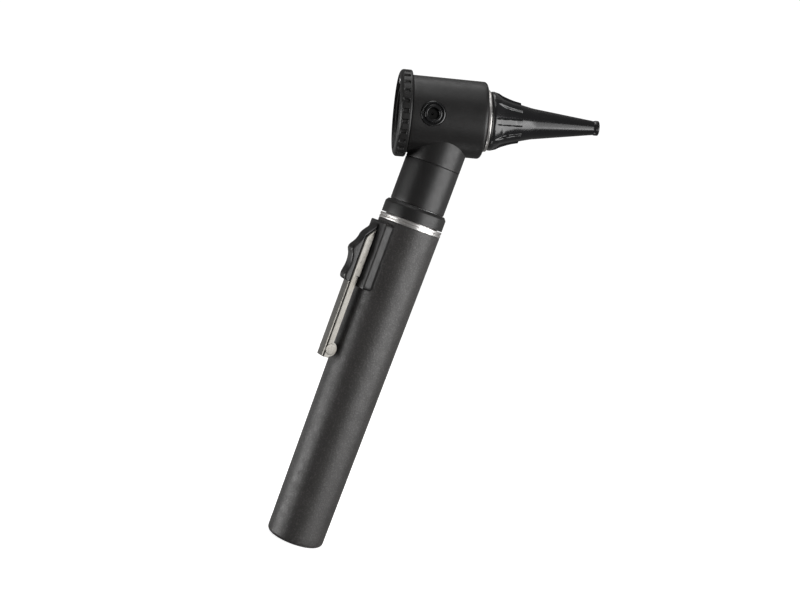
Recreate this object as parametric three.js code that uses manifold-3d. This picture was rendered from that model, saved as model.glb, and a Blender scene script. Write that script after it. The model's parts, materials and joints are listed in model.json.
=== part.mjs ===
// Pocket otoscope: battery handle with a sliding clip switch, a screw-on head with a swinging lens,
// and a slip-on ear speculum. Millimetres, +Z up along the handle, +X towards the speculum.
// The origin is the centre of the flat face at the bottom of the handle.

import * as THREE from 'three';
import { mergeVertices } from 'three/addons/utils/BufferGeometryUtils.js';
import Module from 'manifold-3d';

const wasm = await Module();
wasm.setup();

// ---------------------------------------------------------------- driving dimensions

const ROUND = 36;                      // facets round a large turned part
const ROUND_SMALL = 24;                // facets round a small turned part
const RUNNING_GAP = 0.2;               // clearance between parts that move past each other
const FIT_GAP = 0.05;                  // clearance between parts that sit against each other

const HANDLE_LENGTH = 101;             // bottom face to the chrome ring
const HANDLE_BOTTOM_RADIUS = 8.84;
const HANDLE_TOP_RADIUS = 9.65;
const HANDLE_BORE = 7.7;               // clears two AA cells
const HANDLE_FLOOR = 1.6;
const HANDLE_EDGE = 1.3;               // rounding of the bottom edge
const FERRULE_SEAT_RADIUS = 8.4;       // counterbore that holds the ferrule
const FERRULE_SEAT_DEPTH = 4.6;

const CELL_RADIUS = 7.1;
const CELL_LENGTH = 50.5;              // AA cell, over its terminal
const CELL_TERMINAL_HEIGHT = 1.0;
const CELL_TERMINAL_RADIUS = 2.75;
const CELL_EDGE = 0.5;
const LOWER_CELL_Z = 5.5;
const UPPER_CELL_Z = LOWER_CELL_Z + CELL_LENGTH;

const SPRING_RADIUS = 4.6;
const SPRING_WIRE = 0.35;
const SPRING_TURNS = 3;
const SPRING_TAPER = 0.25;             // how much narrower the top turn is

const STRIP_INNER = 7.15;              // contact strips, between the cells and the wall
const STRIP_OUTER = 7.38;
const STRIP_HALF_WIDTH = 1.2;
const LOWER_STRIP_TOP = 88.5;
const UPPER_STRIP_BOTTOM = 92;
const UPPER_STRIP_TOP = 101.5;
const STRIP_FOOT_REACH = 5;            // the foot passes this far beyond the handle's axis
const STRIP_FOOT_THICKNESS = 0.2;
const STRIP_BOTTOM = HANDLE_FLOOR + FIT_GAP;

const RING_RADIUS = 9.7;
const RING_HEIGHT = 1.7;
const RING_BOTTOM = HANDLE_LENGTH + FIT_GAP;
const RING_TOP = RING_BOTTOM + RING_HEIGHT;
const RING_EDGE = 0.12;
const RING_GROOVE_BOTTOM = RING_BOTTOM + 0.45 * RING_HEIGHT;
const RING_GROOVE_WIDTH = 0.24;
const RING_GROOVE_DEPTH = 0.2;
const SPIGOT_RADIUS = 8.35;
const SPIGOT_TOP = 105.1;
const FERRULE_BORE = 7.6;
const THREAD_PITCH = 0.8;
const THREAD_DEPTH = 0.2;
const THREAD_LEAD_IN = 0.4;            // plain stretch above the ring
const FERRULE_FOOT = HANDLE_LENGTH - FERRULE_SEAT_DEPTH + 0.1;
const FERRULE_FOOT_RADIUS = FERRULE_SEAT_RADIUS - 0.12;

const COLLAR_RADIUS = 9.6;
const COLLAR_BOTTOM = RING_TOP + 0.25;
const COLLAR_TOP = 107.36;
const COLLAR_LIP = 1.0;
const COLLAR_LIP_BORE = 8.12;
const COLLAR_CAVITY = 8.75;
const COLLAR_BORE = 8.6;
const COLLAR_SHOULDER_HEIGHT = 1.2;    // the rounded top edge, in two steps
const COLLAR_SHOULDER_MID = [0.25, 0.55];
const COLLAR_SHOULDER_RADIUS = COLLAR_RADIUS - 0.6;

const NECK_RADIUS = 8.44;
const NECK_BOTTOM = COLLAR_TOP + RUNNING_GAP;
const NECK_SEAM = 120.9;
const NECK_SLEEVE_BORE = 7.5;
const SPIGOT_OF_HEAD = 7.35;
const SPIGOT_OF_HEAD_BOTTOM = 111;
const NECK_EDGE = 0.15;
const LAMP_WELL = 6.3;

const CORE_RADIUS = 7.95;              // lamp socket, where the collar turns on it
const CORE_BOTTOM = 105.3;
const CORE_TOP = 119;
const CIRCLIP_Z = 105.85;
const CIRCLIP_THICKNESS = 0.5;
const CIRCLIP_INNER = 7.65;
const CIRCLIP_OUTER = 8.55;
const CIRCLIP_GAP = 4;                 // opening of the clip ring
const CIRCLIP_GROOVE_RADIUS = CIRCLIP_INNER - FIT_GAP;
const CIRCLIP_GROOVE_HALF = CIRCLIP_THICKNESS / 2 + 0.06;
const SOCKET_SKIRT_BORE = 7.1;         // lamp socket, round the contact
const SOCKET_SHOULDER = 7.35;
const SOCKET_RADIUS = 6.15;
const SOCKET_BORE = 3.5;
const SOCKET_SEAT_RADIUS = 4.2;        // seat of the lamp's flange
const SOCKET_SEAT_BOTTOM = 107;
const SOCKET_SEAT_TOP = 108.3;

const LAMP_FLANGE_RADIUS = 3.95;
const LAMP_FLANGE_BOTTOM = 107.6;
const LAMP_FLANGE_TOP = 108.15;
const LAMP_BASE_RADIUS = 3.3;
const LAMP_BASE_TOP = 113.5;
const LAMP_INSULATOR_BOTTOM = 107.15;
const LAMP_INSULATOR_RADII = [2.6, 3.2];
const LAMP_CONTACT_RADIUS = 1.0;
const LAMP_CONTACT_BOTTOM = 106.55;
const LAMP_BULB = [                    // [radius, z] up the bulb
  [2.9, LAMP_BASE_TOP + FIT_GAP], [2.9, 119.2], [2.6, 120.4], [2.0, 121.2], [1.5, 121.7],
  [1.2, 122.4], [0.7, 122.95], [0, 123.1],
];

const HEAD_CENTRE_Z = 135.96;          // where the head axis crosses the handle axis
const HEAD_TILT = THREE.MathUtils.degToRad(15.24);
const HEAD_RADIUS = 11.46;
const HEAD_BORE = 10.0;
const HEAD_REAR = -12.45;              // along the head axis, from the crossing point
const HEAD_FRONT = 9.97;
const HEAD_FRONT_WALL = 1.7;
const HEAD_FRONT_EDGE = 1.0;
const HEAD_REAR_EDGE = 0.2;

const PORT_STATION = -6.4;             // insufflation port, along the head axis
const PORT_RING_RADIUS = 3.65;
const PORT_NIPPLE_RADIUS = 2.55;
const PORT_BORE = 1.75;
const PORT_FACE = 11.65;               // outer ring, from the head axis
const PORT_NIPPLE_FACE = 12.1;
const PORT_SPOT_FACE = 10.8;
const PORT_ROOT = 8.8;                 // inner end of the nipple, from the head axis
const PORT_MOAT_DEPTH = 0.45;          // moat between the nipple and its ring
const PORT_RING_WALL = 0.6;

const SEAL_GROOVE = { inner: 10.4, outer: 11.1, depth: 0.6 };
const SEAL_INNER = 10.45;
const SEAL_OUTER = 11.05;
const SEAL_PROUD = 0.1;                // how far the seal stands out of the head's rear face

const LIGHT_GUIDE_RADIUS = 1.1;
const LIGHT_GUIDE_BOTTOM = 123.6;      // above the lamp
const LIGHT_GUIDE_BEND = 126.4;
const LIGHT_GUIDE_PATH = [[-8.2, 0, 0.6], [-7.0, 0, 3.2], [-6.0, 0, 5.3]];

const RIM_RADIUS = 12.86;
const RIM_REAR = -16.34;
const RIM_FRONT = HEAD_REAR - RUNNING_GAP;
const RIM_NOTCHES = 26;
const RIM_NOTCH_WIDTH = 1.3;
const RIM_NOTCH_DEPTH = 0.55;
const RIM_NOTCH_REAR = RIM_REAR + 1.0;
const RIM_LIP = 0.75;                  // plain front edge, and the ledge in front of the lens
const RIM_REAR_EDGE = 1.2;
const RIM_DISH_RADIUS = RIM_RADIUS - 2.1;
const RIM_DISH_FLOOR = RIM_REAR + 1.1;
const LENS_RADIUS = 7.2;
const LENS_BULGE = 0.55;
const LENS_REAR = RIM_REAR + 1.0;
const LENS_FRONT = RIM_FRONT - 0.85;
const WINDOW_RADIUS = 6.5;
const RETAINER_REAR = RIM_REAR + 0.55;
const RETAINER_FRONT = RIM_REAR + 1.45;

const PIVOT_RADIUS = 9.75;             // pivot screw, from the head axis
const PIVOT_SHANK = 0.75;
const PIVOT_HEAD_RADIUS = 1.35;
const PIVOT_HEAD_REAR = RIM_REAR + 0.25;
const PIVOT_HEAD_THICKNESS = 0.8;
const PIVOT_SLOT_WIDTH = 0.5;
const PIVOT_SLOT_DEPTH = 0.35;
const PIVOT_END = HEAD_REAR + 4.2;
const PIVOT_HOLE = 0.95;
const PIVOT_HOLE_END = HEAD_REAR + 4.5;
const PIVOT_BOSS_RADIUS = 1.9;
const PIVOT_BOSS_LENGTH = 5.5;

const SPECULUM_TILT = THREE.MathUtils.degToRad(1.7);
const SEAT_FLANGE_RADIUS = 9.2;
const SEAT_FLANGE_FRONT = 1.25;
const SEAT_BARREL = 6.8;
const SEAT_BACK = -4;                  // inner end of the seat, along the speculum axis
const SEAT_BORE = 5.2;
const SEAT_THROAT = 5.0;
const SEAT_THROAT_END = 1;
const SEAT_FLANGE_BACK = 0.35;
const SEAT_FLANGE_EDGE = 0.1;
const NOSE_BASE_RADIUS = 6.6;
const NOSE_TIP_RADIUS = 4.8;
const NOSE_BORE = 3.95;
const NOSE_LENGTH = 10;
const SEAT_NUT_RADIUS = 9.0;
const SEAT_NUT_BACK = -3.9;
const SEAT_NUT_FRONT = -2.0;
const SPECULUM_BASE = 1.4;             // along the speculum axis, from the head's front face
const SPECULUM_LENGTH = 33.8;
const SPECULUM_TIP = SPECULUM_BASE + SPECULUM_LENGTH;
const SPECULUM_WALL = 0.85;
const SPECULUM_SLIP = 0.2;             // clearance between the speculum and the nose
const SPECULUM_LINE = [                // [radius, station] from the rim to the slim cone
  [8.5, SPECULUM_BASE], [8.74, SPECULUM_BASE + 0.3], [8.7, SPECULUM_BASE + 1.3], [7.85, 4.2],
  [6.6, 6.6], [5.5, 11.0], [4.8, 14.0],
];
const SLIM_CONE_BASE = [4.57, 15.2];
const TIP_BEAD = [[2.1, SPECULUM_TIP - 1.6], [2.24, SPECULUM_TIP - 0.7], [2.1, SPECULUM_TIP]];
const TIP_BORE = 1.5;
const SPECULUM_RIBS = 8;
const RIB_PHASE = 3;
const RIB_WIDTH = 1.9;
const RIB_LINE = [
  [8.4, 2.75], [8.7, 2.8], [8.35, 4.2], [7.15, 6.66], [6.35, 9.1], [6.02, 10.9], [5.3, 11.1], [6.3, 6.8],
];

const CLIP_AZIMUTH = THREE.MathUtils.degToRad(202);
const CLIP_WIDTH = 4.5;
const CLIP_SHEET = 0.35;
const CLIP_BOTTOM = 56.4;
const CLIP_STEP = 82.1;                // where the deep upper channel begins
const CLIP_SHOULDER = 94.3;
const CLIP_TOP = 97.3;
const CLIP_WEB_BOTTOM = 13.6;          // the web's distance from the handle's axis at its lower end
const CLIP_WEB_SHOULDER = 13.8;
const CLIP_RAIL = 11.25;               // inner edge of the deep channel
const CLIP_ARM_INNER = 11.5;           // inner edge of the arm
const CLIP_CHAMFER = 0.2;
const EAR_CENTRE = [12.1, 59.1];
const EAR_RADIUS = 2.3;

const THUMB_WIDTH = 4.1;
const THUMB_BOTTOM = 80.1;
const THUMB_GAP = 0.03;                // between the thumb grip and the web it is moulded on
const THUMB_CREST = [                  // [distance from the axis, z] down the crest
  [11.3, 98.9], [12.1, 97.5], [13.35, 95.9], [14.0, 94.6], [14.3, 93.4], [15.1, 91.9], [16.1, 90.6],
  [16.4, 89.4], [15.65, 87.8], [15.3, 86.1], [15.3, 84.4], [15.6, 82.8], [15.75, 81.5], [15.4, 80.5],
  [14.6, THUMB_BOTTOM],
];
const THUMB_POCKET_RADIUS = 1.3;
const RIVET_RADIUS = 0.6;
const RIVET_BORE = 0.7;
const RIVET_ROOT = 11;
const RIVET_Z = 91.6;
const RIVET_HEAD_RADIUS = 1.15;
const RIVET_HEAD_HEIGHT = 0.3;

const PAD_BOTTOM = 79.2;
const PAD_TOP = 99.9;
const PAD_HALF_WIDTH = 6.05;
const PAD_CORNER = 1.6;
const PAD_SECTION = [                  // [distance from the axis, half width] from the face to the foot
  [10.95, 0], [10.8, 2.2], [10.4, 3.7], [10.0, 4.5], [9.3, 5.15], [8.4, 5.4], [7.8, 5.65], [7.35, 6.05],
];
const SLOT_WIDTH = 3.0;
const SLOT_BOTTOM = 87.4;
const SLOT_TOP = 95.9;
const SLIDER_BOTTOM = 91.2;
const SLIDER_TOP = 95.5;
const SLIDER_WIDTH = 2.4;
const SLIDER_INNER = 7.65;
const CONTACT_INNER = 7.42;            // switch contact, on the inside of the slider
const CONTACT_OUTER = 7.57;
const CONTACT_WIDTH = 2.2;
const CONTACT_BOTTOM = 91;
const CONTACT_TOP = 96.3;

const COLOURS = {
  handlePlastic: [0x2b2c2e, 0.55, 0.0],
  headPlastic: [0x27282a, 0.5, 0.0],
  glossPlastic: [0x141416, 0.18, 0.0],
  rubber: [0x1c1c1d, 0.8, 0.0],
  chrome: [0xd9dadb, 0.12, 1.0],
  steel: [0xa9abad, 0.35, 1.0],
  brass: [0xb59345, 0.35, 1.0],
  aluminium: [0xb4b6b9, 0.4, 1.0],
  cell: [0x30455e, 0.4, 0.2],
  glass: [0xdfe9ee, 0.05, 0.0],
};

// ---------------------------------------------------------------- helpers

// A manifold solid from a closed three.js geometry.
function solidOf(geometry) {
  const bare = geometry.clone();
  bare.deleteAttribute('normal');
  bare.deleteAttribute('uv');
  const merged = mergeVertices(bare, 1e-4);
  const corners = merged.index.array;
  const kept = [];
  for (let i = 0; i < corners.length; i += 3) {
    const [a, b, c] = [corners[i], corners[i + 1], corners[i + 2]];
    if (a !== b && b !== c && c !== a) kept.push(a, b, c);
  }
  const vertProperties = new Float32Array(merged.attributes.position.array);
  const build = (triangles) => new wasm.Manifold(
    new wasm.Mesh({ numProp: 3, vertProperties, triVerts: new Uint32Array(triangles) }));
  const solid = build(kept);
  return solid.volume() > 0 ? solid : build(kept.reverse());
}

// A three.js geometry from a manifold solid.
function geometryOf(solid) {
  const mesh = solid.getMesh();
  const geometry = new THREE.BufferGeometry();
  geometry.setAttribute('position', new THREE.BufferAttribute(new Float32Array(mesh.vertProperties), 3));
  geometry.setIndex(new THREE.BufferAttribute(new Uint32Array(mesh.triVerts), 1));
  geometry.computeVertexNormals();
  return geometry;
}

function joined(first, ...others) {
  return others.reduce((sum, next) => sum.add(next), first);
}

function cut(first, ...others) {
  return others.reduce((rest, next) => rest.subtract(next), first);
}

// A turned solid about Z from [radius, z] points that start and end on the axis.
function turned(points, segments = ROUND) {
  const profile = points.map(([r, z]) => new THREE.Vector2(r, z));
  const geometry = new THREE.LatheGeometry(profile, segments);
  geometry.rotateX(Math.PI / 2);
  return solidOf(geometry);
}

// A turned ring about Z from [radius, z] points; the outline closes on itself.
function turnedRing(points, segments = ROUND) {
  return turned([...points, points[0]], segments);
}

// A plain cylinder along Z between two heights.
function rod(radius, z0, z1, segments = ROUND_SMALL) {
  return turned([[0, z0], [radius, z0], [radius, z1], [0, z1]], segments);
}

// Points of an arc in [radius, z] from one angle to another, in degrees.
function arc(r, z, radius, from, to, steps = 4) {
  return Array.from({ length: steps + 1 }, (_, i) => {
    const angle = THREE.MathUtils.degToRad(from + (to - from) * i / steps);
    return [r + radius * Math.cos(angle), z + radius * Math.sin(angle)];
  });
}

// A block between two corners.
function block(low, high) {
  const size = high.map((value, i) => value - low[i]);
  const geometry = new THREE.BoxGeometry(...size);
  geometry.translate(...low.map((value, i) => value + size[i] / 2));
  return solidOf(geometry);
}

// A flat outline of [radial, z] points, extruded across the radial plane and centred on it.
function plate(points, width) {
  const shape = new THREE.Shape(points.map(([x, z]) => new THREE.Vector2(x, z)));
  const geometry = new THREE.ExtrudeGeometry(shape, { depth: width, bevelEnabled: false });
  geometry.rotateX(Math.PI / 2);
  geometry.translate(0, width / 2, 0);
  return solidOf(geometry);
}

// A round bar that follows a curve.
function bar(curve, radius, steps, sides = 8) {
  const shape = new THREE.Shape();
  shape.absarc(0, 0, radius, 0, Math.PI * 2);
  const section = new THREE.Shape(shape.getPoints(sides / 2).slice(0, sides));
  return solidOf(new THREE.ExtrudeGeometry(section, { steps, extrudePath: curve, bevelEnabled: false }));
}

// The solid turned so that its Z axis points along local Y.
function alongY(solid) {
  return solid.rotate([-90, 0, 0]);
}

// The solid turned so that its Z axis points along local X.
function alongX(solid) {
  return solid.rotate([0, 90, 0]);
}

function part(name, solid, [color, roughness, metalness]) {
  const material = new THREE.MeshStandardMaterial({ color, roughness, metalness });
  const mesh = new THREE.Mesh(geometryOf(solid), material);
  mesh.name = name;
  return mesh;
}

function handleRadius(z) {
  return HANDLE_BOTTOM_RADIUS + (HANDLE_TOP_RADIUS - HANDLE_BOTTOM_RADIUS) * z / HANDLE_LENGTH;
}

// ---------------------------------------------------------------- frames of the tilted groups

const headAxis = new THREE.Vector3(Math.cos(HEAD_TILT), 0, Math.sin(HEAD_TILT));
const headUp = new THREE.Vector3(-Math.sin(HEAD_TILT), 0, Math.cos(HEAD_TILT));
const headSide = new THREE.Vector3(0, -1, 0);
const headMatrix = new THREE.Matrix4().makeBasis(headUp, headSide, headAxis)
  .setPosition(0, 0, HEAD_CENTRE_Z);

// A solid made in the handle's frame, expressed in the head's frame.
function inHeadFrame(geometrySolid) {
  const geometry = geometryOf(geometrySolid);
  geometry.applyMatrix4(headMatrix.clone().invert());
  return solidOf(geometry);
}

// ---------------------------------------------------------------- handle

// The slot through the wall that the switch slider works in, in the clip's frame.
function switchSlot() {
  return block([HANDLE_BORE - 1, -SLOT_WIDTH / 2, SLOT_BOTTOM], [12, SLOT_WIDTH / 2, SLOT_TOP]);
}

function handleTube() {
  const seatBottom = HANDLE_LENGTH - FERRULE_SEAT_DEPTH;
  const body = turned([
    [0, 0],
    ...arc(HANDLE_BOTTOM_RADIUS - HANDLE_EDGE, HANDLE_EDGE, HANDLE_EDGE, -90, 0, 3),
    [HANDLE_TOP_RADIUS, HANDLE_LENGTH],
    [FERRULE_SEAT_RADIUS, HANDLE_LENGTH],
    [FERRULE_SEAT_RADIUS, seatBottom],
    [HANDLE_BORE, seatBottom],
    [HANDLE_BORE, HANDLE_FLOOR],
    [0, HANDLE_FLOOR],
  ]);
  return cut(body, switchSlot().rotate([0, 0, THREE.MathUtils.radToDeg(CLIP_AZIMUTH)]));
}

function cell(bottom) {
  const top = bottom + CELL_LENGTH - FIT_GAP;
  const shoulder = bottom + CELL_LENGTH - CELL_TERMINAL_HEIGHT;
  return turned([
    [0, bottom],
    [CELL_RADIUS - CELL_EDGE, bottom],
    [CELL_RADIUS, bottom + CELL_EDGE],
    [CELL_RADIUS, shoulder - CELL_EDGE],
    [CELL_RADIUS - CELL_EDGE, shoulder],
    [CELL_TERMINAL_RADIUS, shoulder],
    [CELL_TERMINAL_RADIUS, top],
    [0, top],
  ], ROUND_SMALL);
}

function batterySpring() {
  const bottom = STRIP_BOTTOM + STRIP_FOOT_THICKNESS + FIT_GAP + SPRING_WIRE;
  const top = LOWER_CELL_Z - FIT_GAP - SPRING_WIRE;
  const stepsPerTurn = 14;
  const count = SPRING_TURNS * stepsPerTurn;
  const points = Array.from({ length: count + 1 }, (_, i) => {
    const angle = i / stepsPerTurn * Math.PI * 2;
    const radius = SPRING_RADIUS * (1 - SPRING_TAPER * i / count);
    return new THREE.Vector3(radius * Math.cos(angle), radius * Math.sin(angle),
      bottom + (top - bottom) * i / count);
  });
  return bar(new THREE.CatmullRomCurve3(points), SPRING_WIRE, count, 6);
}

// The brass strip that runs down the wall to a foot under the spring.
function lowerStrip() {
  const wall = block([STRIP_INNER, -STRIP_HALF_WIDTH, STRIP_BOTTOM],
    [STRIP_OUTER, STRIP_HALF_WIDTH, LOWER_STRIP_TOP]);
  const foot = block([-STRIP_FOOT_REACH, -STRIP_HALF_WIDTH, STRIP_BOTTOM],
    [STRIP_OUTER, STRIP_HALF_WIDTH, STRIP_BOTTOM + STRIP_FOOT_THICKNESS]);
  return joined(wall, foot);
}

function upperStrip() {
  return block([STRIP_INNER, -STRIP_HALF_WIDTH, UPPER_STRIP_BOTTOM],
    [STRIP_OUTER, STRIP_HALF_WIDTH, UPPER_STRIP_TOP]);
}

function threadedFerrule() {
  const threads = [];
  for (let z = RING_TOP + THREAD_LEAD_IN; z + THREAD_PITCH < SPIGOT_TOP; z += THREAD_PITCH) {
    threads.push([SPIGOT_RADIUS, z], [SPIGOT_RADIUS - THREAD_DEPTH, z + THREAD_PITCH / 2]);
  }
  return turnedRing([
    [FERRULE_BORE, FERRULE_FOOT],
    [FERRULE_FOOT_RADIUS, FERRULE_FOOT],
    [FERRULE_FOOT_RADIUS, RING_BOTTOM],
    [RING_RADIUS - RING_EDGE, RING_BOTTOM],
    [RING_RADIUS, RING_BOTTOM + RING_EDGE],
    [RING_RADIUS, RING_GROOVE_BOTTOM],
    [RING_RADIUS - RING_GROOVE_DEPTH, RING_GROOVE_BOTTOM + RING_GROOVE_WIDTH / 2],
    [RING_RADIUS, RING_GROOVE_BOTTOM + RING_GROOVE_WIDTH],
    [RING_RADIUS, RING_TOP - RING_EDGE],
    [RING_RADIUS - RING_EDGE, RING_TOP],
    [SPIGOT_RADIUS - THREAD_DEPTH, RING_TOP],
    ...threads,
    [SPIGOT_RADIUS - THREAD_DEPTH, SPIGOT_TOP],
    [FERRULE_BORE, SPIGOT_TOP],
  ]);
}

// ---------------------------------------------------------------- clip switch, in the clip's frame

// Outer line of the clip's web: it leans outwards towards the top.
function webLine(z) {
  const rise = (z - CLIP_BOTTOM) / (CLIP_SHOULDER - CLIP_BOTTOM);
  return CLIP_WEB_BOTTOM + (CLIP_WEB_SHOULDER - CLIP_WEB_BOTTOM) * rise;
}

function switchHousing() {
  const root = HANDLE_BORE / 2;
  const half = PAD_SECTION.map(([x, y]) => new THREE.Vector2(x, y));
  const mirrored = PAD_SECTION.slice(1).reverse().map(([x, y]) => new THREE.Vector2(x, -y));
  const foot = [new THREE.Vector2(root, PAD_HALF_WIDTH), new THREE.Vector2(root, -PAD_HALF_WIDTH)];
  const height = PAD_TOP - PAD_BOTTOM;
  const section = new THREE.Shape([...half, ...foot, ...mirrored]);
  const prism = solidOf(new THREE.ExtrudeGeometry(section, { depth: height, bevelEnabled: false }))
    .translate([0, 0, PAD_BOTTOM]);
  const side = PAD_HALF_WIDTH - PAD_CORNER;
  const low = PAD_BOTTOM + PAD_CORNER;
  const high = PAD_TOP - PAD_CORNER;
  const outline = new THREE.Shape();
  [[side, high], [-side, high], [-side, low], [side, low]].forEach(([x, z], quarter) => {
    outline.absarc(x, z, PAD_CORNER, quarter * Math.PI / 2, (quarter + 1) * Math.PI / 2);
  });
  const depth = CLIP_RAIL;
  const geometry = new THREE.ExtrudeGeometry(outline, { depth, bevelEnabled: false, curveSegments: 4 });
  geometry.rotateX(Math.PI / 2);
  geometry.rotateZ(Math.PI / 2);
  const window = solidOf(geometry);
  const below = PAD_BOTTOM - 1;
  const above = PAD_TOP + 1;
  const handle = turned([
    [0, below],
    [handleRadius(below) + FIT_GAP, below],
    [handleRadius(above) + FIT_GAP, above],
    [0, above],
  ]);
  return cut(prism.intersect(window), handle, switchSlot());
}

function pocketClip() {
  const outline = [
    [webLine(CLIP_BOTTOM), CLIP_BOTTOM],
    [webLine(CLIP_SHOULDER), CLIP_SHOULDER],
    [CLIP_RAIL, CLIP_TOP],
    [CLIP_RAIL, CLIP_STEP + CLIP_CHAMFER],
    [CLIP_RAIL + CLIP_CHAMFER, CLIP_STEP],
    [CLIP_ARM_INNER, CLIP_STEP],
    [CLIP_ARM_INNER, CLIP_BOTTOM + CLIP_CHAMFER],
    [CLIP_ARM_INNER + CLIP_CHAMFER, CLIP_BOTTOM],
  ];
  const [earX, earZ] = EAR_CENTRE;
  const insideWeb = block([0, -CLIP_WIDTH, earZ - CLIP_WIDTH],
    [webLine(CLIP_BOTTOM), CLIP_WIDTH, earZ + CLIP_WIDTH]);
  const ear = alongY(rod(EAR_RADIUS, -CLIP_WIDTH / 2, CLIP_WIDTH / 2, 20))
    .translate([earX, 0, earZ])
    .intersect(insideWeb);
  const folded = joined(plate(outline, CLIP_WIDTH), ear);
  const inside = CLIP_RAIL / 2;
  const below = CLIP_BOTTOM - CLIP_WIDTH;
  const channel = plate([
    [inside, below],
    [webLine(below) - CLIP_SHEET, below],
    [webLine(CLIP_SHOULDER) - CLIP_SHEET, CLIP_SHOULDER - CLIP_SHEET / 2],
    [CLIP_RAIL - 2 * CLIP_SHEET, CLIP_TOP],
    [inside, CLIP_TOP],
  ], CLIP_WIDTH - 2 * CLIP_SHEET);
  return cut(folded, channel, rivetPath(RIVET_BORE, CLIP_RAIL, webLine(RIVET_Z) + 1));
}

// A plain cylinder along the rivet's axis.
function rivetPath(radius, from, to) {
  return alongX(rod(radius, from, to, 16)).translate([0, 0, RIVET_Z]);
}

function clipRivet() {
  const face = webLine(RIVET_Z) + FIT_GAP;
  const profile = [
    [0, RIVET_ROOT],
    [RIVET_RADIUS, RIVET_ROOT],
    [RIVET_RADIUS, face],
    [RIVET_HEAD_RADIUS, face],
    [0.85 * RIVET_HEAD_RADIUS, face + 0.8 * RIVET_HEAD_HEIGHT],
    [0, face + RIVET_HEAD_HEIGHT],
  ];
  return alongX(turned(profile, 16)).translate([0, 0, RIVET_Z]);
}

function switchSlider() {
  const face = webLine(SLIDER_BOTTOM) - CLIP_SHEET - 0.1;
  const top = SLIDER_TOP - 0.4;
  const body = block([SLIDER_INNER, -SLIDER_WIDTH / 2, SLIDER_BOTTOM], [face, SLIDER_WIDTH / 2, top]);
  const slope = plate([
    [CLIP_RAIL - 0.1, top + 1.5],
    [face + 1.3, top + 1.5],
    [face + 1.3, top - 2.8],
  ], CLIP_WIDTH);
  return cut(body, slope, rivetPath(RIVET_BORE, RIVET_ROOT - 0.1, face + 1));
}

function switchContact() {
  return block([CONTACT_INNER, -CONTACT_WIDTH / 2, CONTACT_BOTTOM],
    [CONTACT_OUTER, CONTACT_WIDTH / 2, CONTACT_TOP]);
}

function thumbGrip() {
  const crest = new THREE.SplineCurve(THUMB_CREST.map(([x, z]) => new THREE.Vector2(x, z)));
  const outline = [
    ...crest.getPoints(30).map((point) => [point.x, point.y]),
    [webLine(THUMB_BOTTOM) + THUMB_GAP, THUMB_BOTTOM],
    [webLine(CLIP_SHOULDER) + THUMB_GAP, CLIP_SHOULDER + FIT_GAP],
    [THUMB_CREST[0][0], CLIP_TOP + 0.2],
  ];
  const pocketEnd = webLine(RIVET_Z) + RIVET_HEAD_HEIGHT + 3 * FIT_GAP;
  return cut(plate(outline, THUMB_WIDTH), rivetPath(THUMB_POCKET_RADIUS, RIVET_ROOT, pocketEnd));
}

// ---------------------------------------------------------------- collar and neck

function collar() {
  const [inset, drop] = COLLAR_SHOULDER_MID;
  return turnedRing([
    [COLLAR_BORE, COLLAR_BOTTOM],
    [COLLAR_RADIUS - RING_EDGE, COLLAR_BOTTOM],
    [COLLAR_RADIUS, COLLAR_BOTTOM + RING_EDGE],
    [COLLAR_RADIUS, COLLAR_TOP - COLLAR_SHOULDER_HEIGHT],
    [COLLAR_RADIUS - inset, COLLAR_TOP - drop],
    [COLLAR_SHOULDER_RADIUS, COLLAR_TOP],
    [COLLAR_LIP_BORE, COLLAR_TOP],
    [COLLAR_LIP_BORE, COLLAR_TOP - COLLAR_LIP],
    [COLLAR_CAVITY, COLLAR_TOP - COLLAR_LIP],
    [COLLAR_CAVITY, SPIGOT_TOP + 2 * FIT_GAP],
    [COLLAR_BORE, SPIGOT_TOP - 2 * FIT_GAP],
  ]);
}

function collarCirclip() {
  const low = CIRCLIP_Z - CIRCLIP_THICKNESS / 2;
  const high = CIRCLIP_Z + CIRCLIP_THICKNESS / 2;
  const ring = turnedRing([
    [CIRCLIP_INNER, low],
    [CIRCLIP_OUTER, low],
    [CIRCLIP_OUTER, high],
    [CIRCLIP_INNER, high],
  ], 36);
  return cut(ring, block([0, -CIRCLIP_GAP / 2, low - 1], [CIRCLIP_OUTER + 1, CIRCLIP_GAP / 2, high + 1]));
}

function lampSocket() {
  const shoulder = SPIGOT_OF_HEAD_BOTTOM - 0.2;
  return turnedRing([
    [SOCKET_SHOULDER, CORE_BOTTOM],
    [CORE_RADIUS, CORE_BOTTOM],
    [CORE_RADIUS, CIRCLIP_Z - CIRCLIP_GROOVE_HALF],
    [CIRCLIP_GROOVE_RADIUS, CIRCLIP_Z - CIRCLIP_GROOVE_HALF],
    [CIRCLIP_GROOVE_RADIUS, CIRCLIP_Z + CIRCLIP_GROOVE_HALF],
    [CORE_RADIUS, CIRCLIP_Z + CIRCLIP_GROOVE_HALF],
    [CORE_RADIUS, COLLAR_TOP + 0.1],
    [SOCKET_SHOULDER, COLLAR_TOP + 0.1],
    [SOCKET_SHOULDER, shoulder],
    [SOCKET_RADIUS, shoulder],
    [SOCKET_RADIUS, CORE_TOP],
    [SOCKET_BORE, CORE_TOP],
    [SOCKET_BORE, SOCKET_SEAT_TOP],
    [SOCKET_SEAT_RADIUS, SOCKET_SEAT_TOP],
    [SOCKET_SEAT_RADIUS, SOCKET_SEAT_BOTTOM],
    [SOCKET_SKIRT_BORE, SOCKET_SEAT_BOTTOM],
  ], ROUND_SMALL);
}

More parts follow.
